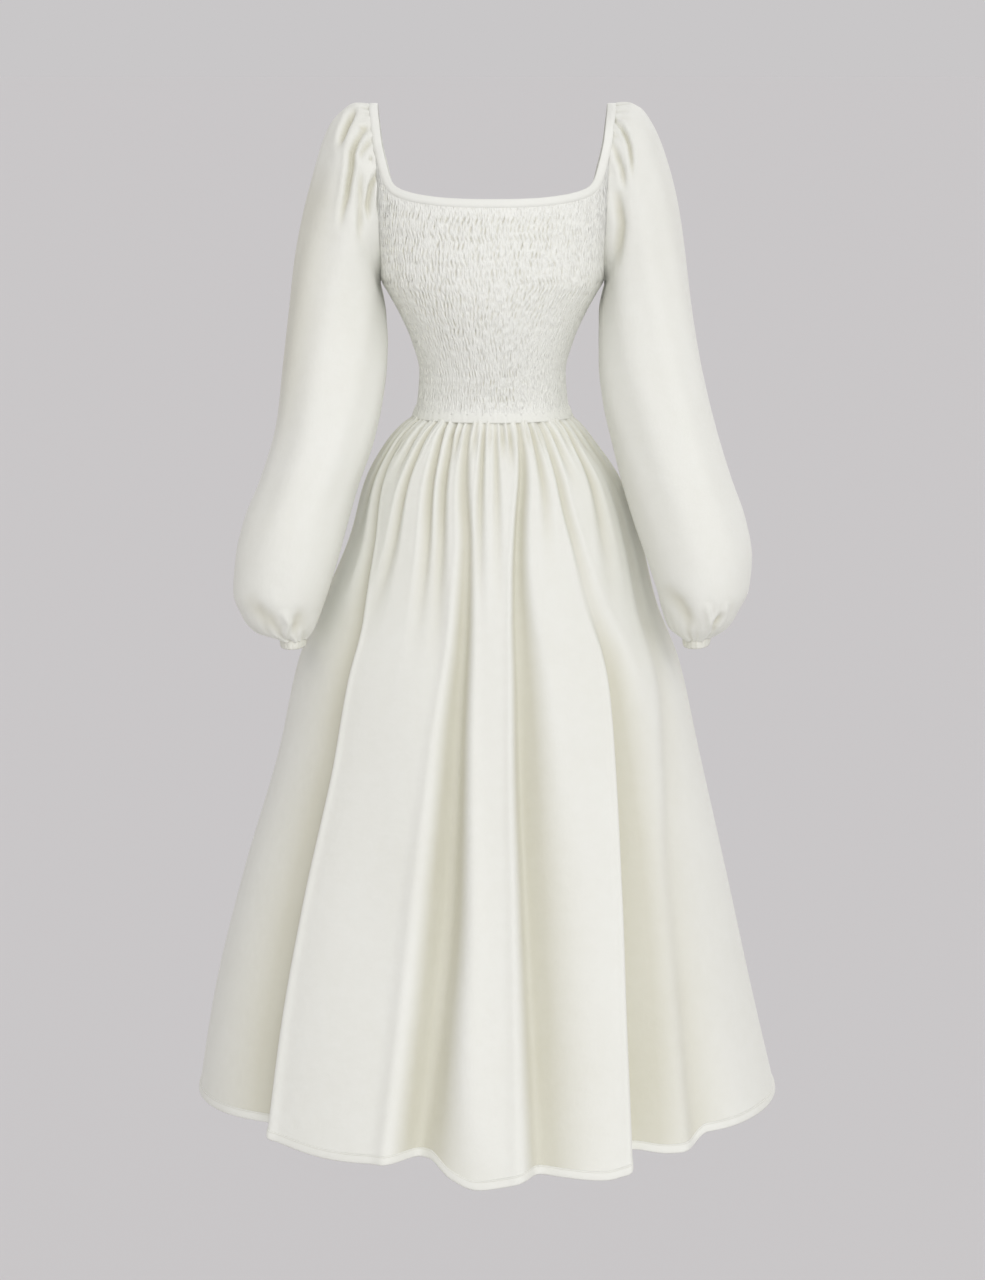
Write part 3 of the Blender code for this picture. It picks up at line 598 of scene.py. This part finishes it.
def shirring_power(s, z, off_side):
    """How strongly the front is shirred: less at its right, below the bust there and up its side."""
    at_right = 1 - fade(0.30, 0.60, s)
    below_bust = 1 - fade(0.195, 0.245, -z)
    side_strip = fade(0.010, 0.024, off_side) * fade(0.12, 0.22, -z)
    power = 0.60 + 0.40 * fade(0.30, 0.95, s)
    return power * (1 - 0.55 * at_right * below_bust) * (1 - 0.85 * side_strip)


def shirring(face):
    """The puffs between the rows of elastic, with short upright creases that each row sets off anew."""
    rng = np.random.default_rng(11 if face == "front" else 12)
    count = ELASTIC_ROWS + SPARE_ROWS
    starts = rng.uniform(0.0, 1.0, count)
    leans = rng.uniform(-MOST_LEAN, MOST_LEAN, count)
    strengths = rng.uniform(0.0, MOST_STRENGTH, (count, WRINKLES + SPARE_WRINKLES))

    def relief(across, down, points):
        s, z = bodice_across(across), points[:, 2]
        top = np.minimum(top_edge(face, s), ROW_TOP)
        row = np.clip((z - top) / (WAIST_TOP - top), -2.0, 1.0) * ELASTIC_ROWS
        row += ripples(ROW_WAVES, s, (0.0, 1.0))
        base = np.floor(row).astype(int)
        k, f = base + ROWS_ABOVE, row - base
        at = across * WRINKLES
        drift = wander(np.random.default_rng(31), count, at)

        def creases(n, share):
            phase = at + starts[n] + DRIFT * drift(n) + leans[n] * (share - 0.5)
            cell = np.round(phase).astype(int)
            away = np.abs(phase - cell)
            return strengths[n, cell + FIRST_WRINKLE] * np.exp(-((away / CREASE_WIDTH) ** 1.5))

        upper = f < 0.5
        near, near_share = np.where(upper, k - 1, k + 1), np.where(upper, f + 1, f - 1)
        mixed = 0.5 * np.clip(1 - np.minimum(f, 1 - f) / ROW_BLEND, 0.0, 1.0)
        crease = creases(k, f) * (1 - mixed) + creases(near, near_share) * mixed
        swell = np.sin(math.pi * f) ** 0.7
        slow = np.sin(3.1 * s + 9.0 * z) * np.sin(21.0 * z + 1.3 * s)
        power = np.clip(0.90 + 0.25 * slow, 0.0, 1.3)
        if face == "front":
            power = power * shirring_power(s, z, bodice_half(z) - points[:, 0])
        power = power * fade(0.95, 1.0, np.abs(s))
        power = power * fade(-0.016, -0.008, z - top_edge(face, s, PANEL_TUCK)) * fade(0.330, 0.3360, -z)
        rolled = fade(0.0, 0.0030, bodice_half(z) - np.abs(points[:, 0]))
        crease = crease * (0.12 + 0.88 * swell) * power
        height = PUFF * (0.40 + 0.60 * swell * power) - CREASE * crease
        # Painted shade in the creases, as strong as they are, and over the upper bodice
        upper_shade = UPPER_PAINTED_SHADE * fade(0.21, 0.30, -z)
        return height - SIDE_ROLL * rolled, np.clip(1.0 * crease + upper_shade, 0.0, 1.0)

    return relief


def trough(offset, left, right, sharp=2.6):
    """A valley with a proud edge where a side is steep, from the distance to its middle."""
    wide = np.where(offset < 0, left, right)
    side = np.abs(offset / wide)
    gentle = np.clip((wide - 4.0) / 2.5, 0.0, 1.0)
    edge = PROUD_EDGE * np.exp(-(((side - 1.75) / 0.55) ** 2)) * (1 - gentle)
    return np.exp(-(side ** (sharp + (GENTLE_SHARP - sharp) * gentle))) - edge


def fold_depth(folds, gathers, angle, z):
    """How far the skirt falls in at each angle and level, in all its folds and gathers together."""
    total = np.zeros_like(z)
    for fold in folds:
        line, depth, left, right = (at_level(fold, name, z) for name in Fall._fields[1:])
        total += depth / 1000 * trough(angle - line, left, right)
    for gather in gathers:
        share = np.clip((WAIST_SEAM - z) / (WAIST_SEAM - gather.gone), 0.0, 1.0)
        line = gather.waist + (gather.end - gather.waist) * share**0.55
        seam = fade(0.0, 0.018, WAIST_SEAM - z)
        depth = gather.deep / GATHER_UNIT * fade(0.25, 1.0, share) * (1 - 0.5 * seam)
        wide = gather.wide * (0.85 + 0.9 * share)
        total += depth * trough(angle - line, wide, wide, 2.0)
    return total


def skirt_folds(face):
    """The folds and gathers of a skirt panel."""
    return (FRONT_FOLDS, FRONT_GATHERS) if face == "front" else (BACK_FOLDS, BACK_GATHERS)


def skirt_painted_shade(face):
    """Paints shade into the skirt's valleys, and onto its sides beside the sleeves: it raises nothing."""

    def painted_shade(across, down, points):
        degrees, z = 180 * across - 90, points[:, 2]
        full_shade_depth = np.interp(-z, *FULL_SHADE_DEPTH)
        # Painted shade on the sides beside the sleeves, and in the valleys as deep as they fall
        side_shade = 0.6 * (1 - fade(74, 88, np.abs(degrees))) * fade(0.50, 0.75, -z)
        valley_shade = fold_depth(*skirt_folds(face), degrees, z) / full_shade_depth
        return np.zeros_like(z), np.clip(valley_shade + side_shade, 0.0, 1.0)

    return painted_shade


def skirt_place(face):
    """Places points of a skirt panel, from under the waist casing down to the hem."""
    front = face == "front"
    sign = -1.0 if front else 1.0
    hem = FRONT_HEM if front else BACK_HEM
    starts = np.random.default_rng(5 if front else 6).uniform(0, FULL_TURN, 6)

    def place(across, down, out=0.0):
        degrees = 180 * across - 90
        angle = np.radians(degrees)
        bottom = smooth(column(hem, "angle"), column(hem, "z"), degrees)
        top = WAIST_SEAM + SKIRT_TUCK
        z = top + (bottom - top) * down
        left, right = (at_level(SKIRT, name, z) for name in ("left", "right"))
        mean = (left + right) / 2
        side = mean + (np.where(across < 0.5, left, right) - mean) * np.abs(np.sin(angle))
        depth = at_level(SKIRT, face, z)
        soft = np.abs(np.cos(angle)) ** SIDE_SOFTNESS
        fine = TUCK_DEPTH * ripples(TUCKS, degrees, starts) * fade(0.349, 0.42, -z)
        slack = SKIRT_SLACK * np.sin(0.21 * degrees + 4.0 * z + starts[3]) * np.sin(6.0 * z + starts[4])
        push = (fine + slack - fold_depth(*skirt_folds(face), degrees, z)) * soft + out
        x = (side + push) * np.sin(angle)
        y = sign * np.maximum((depth + push) * np.cos(angle), 0.0)
        return np.stack([x, y, z], axis=1)

    return place


def between(outer, inner, share):
    """The outer value at a share of 1, the inner one at -1 and their middle at 0."""
    return (outer + inner) / 2 + (outer - inner) / 2 * share


def sleeve_place(side):
    """Places points of a sleeve, across once round it from the shoulder line, down to the wrist."""
    rings = SLEEVES[side]
    sign = SIGNS[side]
    steps = np.linspace(0, 1, len(rings))

    def place(across, along):
        ring = {name: smooth(steps, column(rings, name), along) for name in Ring._fields}
        turn = FULL_TURN * across
        x = between(ring["out_x"], ring["in_x"], np.cos(turn))
        z = between(ring["out_z"], ring["in_z"], np.cos(turn))
        y = ring["middle_y"] - ring["depth"] * np.sin(turn)
        seam = seam_half(np.minimum(z, 0.0))
        x += (seam - between(rings[0].out_x, rings[0].in_x, np.cos(turn))) * fade(0.0, FIT_REACH, along)
        x -= SEAM_OVERLAP * fade(0.0, 0.03, along)
        return np.stack([sign * x, y, z], axis=1)

    return place


def along_crease(points, crease):
    """Depth of one crease at each point, from its distance to the crease's line seen from its side."""
    line = np.array(crease.line)
    spot = points[:, [0, 2]]
    best = np.full(len(spot), np.inf)
    share = np.zeros(len(spot))
    steps = np.diff(line, axis=0)
    lengths = np.linalg.norm(steps, axis=1)
    so_far = 0.0
    for start, step, length in zip(line[:-1], steps, lengths):
        t = np.clip((spot - start) @ step / length**2, 0.0, 1.0)
        away = np.linalg.norm(spot - start - t[:, None] * step, axis=1)
        nearer = away < best
        best = np.where(nearer, away, best)
        share = np.where(nearer, (so_far + t * length) / lengths.sum(), share)
        so_far += length
    wide = crease.wide / 1000
    ends = np.minimum(1.0, 0.45 + 2.6 * share) * fade(0.55, 1.08, share)
    lips = 0.28 * np.exp(-(((best - 2.1 * wide) / (1.1 * wide)) ** 2))
    return crease.deep / 1000 * (np.exp(-((best / wide) ** 2)) - lips) * ends


def sleeve_relief(side):
    """Gathers over the sleeve head and at the wrist, the creases of the cap and a little slack."""
    starts = np.random.default_rng(21 if side == "left" else 22).uniform(0, FULL_TURN, 12)

    def relief(across, down, points):
        along = even_out(down)
        turn = FULL_TURN * across
        off_top = np.abs((turn + math.pi) % FULL_TURN - math.pi)
        ahead = (np.sin(turn) > 0).astype(float)
        head = fade(math.radians(20), math.radians(115), off_top)
        puckers = ripples(HEAD_PUCKERS, turn, starts)
        height = PUCKER_DEPTH * puckers * head * fade(0.01, 0.11, along)
        for crease in SLEEVE_CREASES[side] + CUFF_CREASES[side]:
            shows = ahead if crease.side == "front" else 1 - ahead
            height = height - CREASE_GAIN * along_crease(points, crease) * shows
        wrist = 1 - fade(0.80, 0.985, along)
        height += WRIST_DEPTH * ripples(WRIST_GATHERS, turn, starts[3:]) * wrist**1.5
        # Painted shade in the creases, as deep as they press in
        painted_shades = np.clip(-height / SLEEVE_FULL_SHADE_DEPTH, 0.0, 1.0)
        # Painted shade down the outer side of the left sleeve's upper part
        if side == "left":
            upper = (1 - fade(0.05, 0.11, -points[:, 2])) * fade(0.27, 0.40, -points[:, 2])
            painted_shades = np.maximum(painted_shades, 0.65 * upper * fade(0.45, 1.45, off_top))
        hang = np.sin(9 * turn + 2.2 * np.sin(5 * along + starts[9]) + starts[10])
        height += HANG_DEPTH * hang * (1 - fade(0.05, 0.20, along)) * fade(0.55, 0.85, along)
        slack = np.sin(2 * turn + 9 * along + starts[6]) * np.sin(7 * along + starts[7])
        slack += 0.6 * np.sin(3 * turn - 14 * along + starts[8])
        height += SLEEVE_SLACK * slack * (1 - fade(0.15, 0.35, along)) * fade(0.75, 0.95, along)
        return height - TURNED_IN * fade(0.0, 0.012, along), painted_shades

    return relief


def neck_loop(offset):
    """The whole neck edge, or the casing's far edge, as one closed line of points."""
    halves = []
    for face, sign in (("front", -1.0), ("back", 1.0)):
        x, z = neck_lines(face, offset)
        across = x / np.where(z > STRAP_TIP, seam_half(z), bodice_half(z))
        halves.append(np.stack([x, sign * torso_depth(face, across, z), z], axis=1))
    front, back = halves
    right = np.concatenate([front, back[::-1][1:]])
    left = right[::-1][1:] * np.array([-1.0, 1.0, 1.0])
    return np.concatenate([right, left])


def neck_place(across, down):
    """Places points of the neck casing: once round the neck edge, and once round its own section."""
    line, far = neck_loop(0.0), neck_loop(CASING_WIDTH)
    shares = np.linspace(0, 1, len(line))

    def spread(values):
        return np.stack([np.interp(across, shares, values[:, k]) for k in range(3)], axis=1)

    near = spread(line)
    width = spread(far) - near
    along = np.roll(line, -2, axis=0) - np.roll(line, 2, axis=0)
    along[-1] = along[0]
    up = np.cross(spread(along), width)
    up /= np.linalg.norm(up, axis=1)[:, None]
    section = CASING_PROFILE + CASING_PROFILE[:1]
    steps, at = np.arange(len(section)), down * len(CASING_PROFILE)
    share, lift, strap = (np.interp(at, steps, column(section, name)) for name in Profile._fields)
    lift = (lift + (strap - lift) * fade(0.062, 0.092, -near[:, 2])) / 1000
    return near + width * share[:, None] + up * lift[:, None]


def waist_place(across, down):
    """Places points of the waist casing, once round the waist."""
    turn = FULL_TURN * across
    top = WAIST_TOP + BAND_GAP
    z = top + (WAIST_SEAM - top) * down
    depth = np.where(np.cos(turn) > 0, at_level(BODICE, "front", z), at_level(BODICE, "back", z))
    x = (bodice_half(z) + CASING_STEP) * np.sin(turn)
    return np.stack([x, -(depth + CASING_STEP) * np.cos(turn), z], axis=1)


def waist_relief(across, down, points):
    """A rounded band, tight at both its seams, with the small upright ripples of gathered elastic."""
    turn = FULL_TURN * across
    crown = np.sin(math.pi * np.clip(down, 0.0, 1.0)) ** 0.6
    ripple = 0.5 * np.sin(61 * turn + 0.8 * np.sin(5 * turn))
    ripple += 0.35 * np.sin(97 * turn + 1.1 * np.sin(7 * turn))
    return 0.0006 * crown - 0.0005 + 0.00030 * ripple * crown, np.zeros_like(turn)


def cuff_place(side):
    """Places points of a wrist casing, just below the sleeve's last ring."""
    last = SLEEVES[side][-1]
    sign = SIGNS[side]

    def place(across, down):
        turn = FULL_TURN * across
        reach = (last.out_x - last.in_x) / 2 - CUFF_TUCK
        x = (last.out_x + last.in_x) / 2 + reach * np.cos(turn)
        z = between(last.out_z, last.in_z, np.cos(turn)) + CUFF_RISE - (CUFF_HEIGHT + CUFF_RISE) * down
        y = last.middle_y - (last.depth - CUFF_TUCK) * np.sin(turn)
        return np.stack([sign * x, y, z], axis=1)

    return place


def cuff_relief(across, down, points):
    """A rounded casing with the small ripples of its elastic, painted in shade that varies with them."""
    ripple = ripples(CUFF_RIPPLES, FULL_TURN * across, (0.9, 0.0))
    crown = np.sin(math.pi * down) ** 0.6
    return 0.0008 * crown - 0.0004 + 0.0004 * ripple * crown, 0.35 + 0.15 * ripple


def closer_at_waist(place):
    """The same places, with the grid's rows closer together near the waist, where the folds are fine."""
    return lambda across, down: place(across, down**1.3)


def closer_at_ends(place):
    """The same places, with the grid's rows closer together at the sleeve's head and at its wrist."""
    return lambda across, down: place(across, even_out(down))


def even_out(down):
    """How far along a sleeve a row of its grid lies."""
    return down - 0.085 * np.sin(FULL_TURN * down)


def hem_place(face):
    """The hem: a narrow strip just outside the skirt's lower edge, with a rounded turned edge."""
    place = skirt_place(face)
    turned = 1 - HEM_WIDTH / (WAIST_SEAM - HEM_LEVEL)

    def outside(across, down):
        crown = np.clip(np.sin(math.pi * np.clip(down, 0.0, 1.0)), 0.0, 1.0) ** 0.5
        return place(across, turned + (HEM_END - turned) * down, HEM_GAP + HEM_STEP * crown)

    return outside


def grid(cells, size):
    """A flat grid whose points remember their place across and down, and whose map is in metres."""
    mesh = bmesh.new()
    bmesh.ops.create_grid(mesh, x_segments=cells[0], y_segments=cells[1], size=0.5)
    across = mesh.verts.layers.float.new("across")
    down = mesh.verts.layers.float.new("down")
    for vert in mesh.verts:
        vert[across] = vert.co.x + 0.5
        vert[down] = 0.5 - vert.co.y
    chart = mesh.loops.layers.uv.new("cloth")
    for face in mesh.faces:
        for loop in face.loops:
            spot = loop.vert.co
            loop[chart].uv = ((spot.x + 0.5) * size[0], (spot.y - 0.5) * size[1])
    return mesh


def places(mesh):
    """Each point's place across and down its grid."""
    across, down = mesh.verts.layers.float["across"], mesh.verts.layers.float["down"]
    return np.array([v[across] for v in mesh.verts]), np.array([v[down] for v in mesh.verts])


def move(verts, points):
    """Moves each of a mesh's points to its new place."""
    for vert, point in zip(verts, points):
        vert.co = point


def cloth(name, finish, cells, size, place, relief=None, outward=True, ring=False, tube=False):
    """A fine sheet of cloth: placed on its solid's form, then raised and creased along its normals.

    A ring is joined where its grid ends across. A tube is joined both ways, and needs no wall.
    """
    mesh = grid(cells, size)
    across, down = places(mesh)
    move(mesh.verts, place(across, down))
    if ring or tube:
        bmesh.ops.remove_doubles(mesh, verts=mesh.verts, dist=JOIN_REACH)
        across, down = places(mesh)
    if not outward:
        bmesh.ops.reverse_faces(mesh, faces=mesh.faces)
    if relief:
        mesh.normal_update()
        normals = np.array([vert.normal for vert in mesh.verts])
        points = np.array([vert.co for vert in mesh.verts])
        heights, painted_shades = relief(across, down, points)
        move(mesh.verts, points + normals * heights[:, None])
        # Each point keeps its share of painted shade, which darkens the cotton's colour
        layer = mesh.verts.layers.float.new("painted_shade")
        for vert, share in zip(mesh.verts, painted_shades):
            vert[layer] = share
    data = bpy.data.meshes.new(name)
    mesh.normal_update()
    mesh.to_mesh(data)
    mesh.free()
    data.shade_smooth()
    data.materials.append(finish)
    piece = bpy.data.objects.new(name, data)
    bpy.context.scene.collection.objects.link(piece)
    if not tube:
        wall = piece.modifiers.new("cloth wall", "SOLIDIFY")
        wall.thickness = CLOTH
        wall.offset = -1.0
        wall.use_even_offset = False
    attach(piece, "root")
    return piece


class Value:
    """A shader socket that can be used in a sum like a number."""

    def __init__(self, finish, socket):
        self.finish, self.socket = finish, socket

    def maths(self, operation, *others):
        return self.finish.maths(operation, self, *others)

    def __add__(self, other):
        return self.maths("ADD", other)

    def __sub__(self, other):
        return self.maths("SUBTRACT", other)

    def __rsub__(self, other):
        return self.finish.maths("SUBTRACT", other, self)

    def __mul__(self, other):
        return self.maths("MULTIPLY", other)

    __radd__ = __add__
    __rmul__ = __mul__


class Finish:
    """A material whose nodes are all made by one method."""

    def __init__(self, name):
        self.material = bpy.data.materials.new(name)
        self.material.use_nodes = True
        self.tree = self.material.node_tree
        self.shader = self.tree.nodes["Principled BSDF"]

    def node(self, kind, settings, sockets, output=0):
        """One node: its settings first, then the values or links of its sockets, by number or name."""
        made = self.tree.nodes.new(kind)
        for name, setting in settings.items():
            setattr(made, name, setting)
        for place, value in sockets.items():
            self.feed(made.inputs[place], value)
        return Value(self, made.outputs[output])

    def feed(self, socket, value):
        if isinstance(value, Value):
            self.tree.links.new(value.socket, socket)
        else:
            socket.default_value = value

    def maths(self, operation, *parts):
        return self.node("ShaderNodeMath", {"operation": operation}, dict(enumerate(parts)))

    def mix(self, share, first, second):
        """A colour between two, by a share from 0 to 1."""
        return self.node("ShaderNodeMix", {"data_type": "RGBA"}, {0: share, 6: first, 7: second}, output=2)

    def noise(self, spot, scale, detail):
        return self.node("ShaderNodeTexNoise", {}, {"Vector": spot, "Scale": scale, "Detail": detail})

    def show(self, looks):
        """Feeds the material's own shader, by the names of its sockets."""
        for name, value in looks.items():
            self.feed(self.shader.inputs[name], value)


def wave(value, pitch):
    """From -1 to 1 and back, once for each pitch along a value."""
    return (value * (FULL_TURN / pitch)).maths("SINE")


def cotton(name, base, shade, shirred=False, stitches=()):
    """Ivory cotton: plain weave with slubs, crepe, the crumple of shirring, and rows of stitching, darkened
    by the painted shade set on its points.
    """
    finish = Finish(name)
    chart = finish.node("ShaderNodeUVMap", {"uv_map": "cloth"}, {})
    u = finish.node("ShaderNodeSeparateXYZ", {}, {0: chart})
    v = finish.node("ShaderNodeSeparateXYZ", {}, {0: chart}, output=1)
    spot = finish.node("ShaderNodeTexCoord", {}, {}, output="Object")
    slub = finish.noise(chart, 900.0, 2.0)
    cloudy = finish.noise(spot, 9.0, 3.0)
    soft = finish.noise(spot, 70.0, 4.0)
    painted_shade = finish.node("ShaderNodeAttribute", {"attribute_name": "painted_shade"}, {}, output="Fac")
    threads = wave(u + slub * SLUB_SHIFT, WEAVE) * wave(v + slub * SLUB_SHIFT, WEAVE)
    tint = (cloudy - 0.5) * CLOUD_TONE + (soft - 0.5) * CREPE_TONE + threads * THREAD_TONE
    # Painted shade: the cloth is mixed towards its shade colour by each point's share
    tint = tint + PLAIN_TONE - painted_shade * PAINTED_SHADE_TONE
    crepe = SHIRRED_CREPE if shirred else 1.0
    height = threads * THREAD_RISE + slub * (SLUB_RISE * crepe) + soft * (CREPE_RISE * crepe)
    if shirred:
        strokes = finish.node("ShaderNodeCombineXYZ", {}, {0: u * CRUMPLE_ACROSS, 1: v * CRUMPLE_DOWN})
        crumple = finish.noise(strokes, 1.0, 1.5)
        height = height + crumple * CRUMPLE_RISE
        # Painted shade in the crumple's low spots, painted light on its high spots
        tint = tint + (crumple - CRUMPLE_MEAN) * CRUMPLE_PAINTED_SHADE_AND_LIGHT
    color = finish.mix(tint, shade, base)
    for row in stitches:
        along = wave(u, row.pitch) * 0.5 + 0.5
        near = 1 - ((v - row.at).maths("ABSOLUTE") * (1 / row.wide)).maths("MINIMUM", 1.0)
        thread = near * (along * 3.0 - 0.6).maths("MAXIMUM", 0.0).maths("MINIMUM", 1.0)
        height = height + thread * THREAD_LIFT - near * SEAM_DENT
        color = finish.mix(near * STITCH_TONE, color, shade)
    bump = finish.node("ShaderNodeBump", {}, {"Strength": 1.0, "Distance": 1.0, "Height": height})
    finish.show({
        "Normal": bump, "Base Color": color, "Roughness": 0.80 + (soft - 0.5) * 0.12,
        "Sheen Weight": 0.15, "Sheen Roughness": 0.5, "IOR": 1.45, "Specular IOR Level": 0.25,
    })
    return finish.material


def make_bodice():
    # The bodice's cotton is painted lighter than the rest, as light falling on it
    finish = cotton("shirred ivory cotton", SHIRRED_IVORY_PAINTED_LIGHTER, IVORY_PAINTED_SHADE, shirred=True)
    for face, cells in BODICE_CELLS.items():
        piece = cloth(
            f"{face}_bodice_cloth", finish, cells, BODICE_MAP, bodice_place(face), shirring(face),
            outward=face == "front",
        )
        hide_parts(f"bodice_{face}")


def make_skirt():
    finish = cotton("ivory skirt cotton", IVORY, IVORY_PAINTED_SHADE)
    edge = cotton("turned hem cotton", IVORY, IVORY_PAINTED_SHADE, stitches=[HEM_STITCHES])
    for face, cells in SKIRT_CELLS.items():
        piece = cloth(
            f"{face}_skirt_cloth", finish, cells, SKIRT_MAP, closer_at_waist(skirt_place(face)),
            skirt_painted_shade(face), outward=face == "front",
        )
        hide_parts(f"skirt_{face}")
        hem = cloth(
            f"{face}_hem_turning", edge, (cells[0], HEM_ROWS), HEM_MAP, hem_place(face),
            outward=face == "front",
        )
        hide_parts(f"hem_{face}")


def make_sleeves():
    finish = cotton("ivory sleeve cotton", IVORY, IVORY_PAINTED_SHADE)
    casing = cotton("wrist casing cotton", IVORY, IVORY_PAINTED_SHADE)
    for side in SLEEVES:
        piece = cloth(
            f"{side}_sleeve_cloth", finish, SLEEVE_CELLS, SLEEVE_MAP, closer_at_ends(sleeve_place(side)),
            sleeve_relief(side), outward=side == "left", ring=True,
        )
        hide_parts(f"sleeve_{side}")
        cuff = cloth(
            f"{side}_wrist_casing", casing, CUFF_CELLS, CUFF_MAP, cuff_place(side), cuff_relief,
            outward=side == "left", ring=True,
        )
        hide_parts(f"cuff_{side}")


def make_casings():
    stitched = cotton("neck casing cotton", TRIM, TRIM_SHADE, stitches=[NECK_STITCHES])
    neck = cloth("neck_band", stitched, (NECK_COLUMNS, len(CASING_PROFILE)), NECK_MAP, neck_place, tube=True)
    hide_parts("neck_casing")
    plain = cotton("waist casing cotton", TRIM, TRIM_SHADE)
    waist = cloth("waist_band", plain, WAIST_CELLS, WAIST_MAP, waist_place, waist_relief, ring=True)
    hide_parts("waist_casing")


def make_floor():
    """A plain pale floor."""
    mesh = bmesh.new()
    bmesh.ops.create_grid(mesh, x_segments=4, y_segments=4, size=FLOOR_REACH)
    bmesh.ops.translate(mesh, verts=mesh.verts, vec=(0.0, 0.0, FLOOR_LEVEL))
    data = bpy.data.meshes.new("floor")
    mesh.to_mesh(data)
    mesh.free()
    floor = bpy.data.objects.new("floor", data)
    bpy.context.scene.collection.objects.link(floor)
    pale = Finish("pale grey floor")
    pale.show({"Base Color": FLOOR_TINT, "Roughness": 1.0, "Specular IOR Level": 0.0})
    data.materials.append(pale.material)


def make_light():
    """Plain soft light from an even grey studio and a few wide lamps."""
    world = bpy.data.worlds.new("studio")
    world.use_nodes = True
    world.node_tree.nodes["Background"].inputs["Color"].default_value = STUDIO_TINT
    world.node_tree.nodes["Background"].inputs["Strength"].default_value = 1.0
    bpy.context.scene.world = world
    bpy.context.scene.view_settings.view_transform = "Standard"
    for name, (across, toward, up), angle, tint, power in LIGHTS:
        lamp = bpy.data.lights.new(name, "SUN")
        lamp.color = tint
        lamp.angle = math.radians(angle)
        lamp.energy = power
        light = bpy.data.objects.new(name, lamp)
        light.rotation_euler = Vector((across, toward, up)).to_track_quat("Z", "Y").to_euler()
        bpy.context.scene.collection.objects.link(light)


def make_camera():
    lens = bpy.data.cameras.new("camera")
    lens.lens = LENS
    lens.sensor_width = SENSOR
    lens.sensor_fit = "AUTO"
    camera = bpy.data.objects.new("camera", lens)
    camera.location = CAMERA_PLACE
    camera.rotation_euler = (CAMERA_AIM - CAMERA_PLACE).to_track_quat("-Z", "Y").to_euler()
    bpy.context.scene.collection.objects.link(camera)
    bpy.context.scene.camera = camera


make_casings()
make_bodice()
make_skirt()
make_sleeves()
make_floor()
make_light()
make_camera()
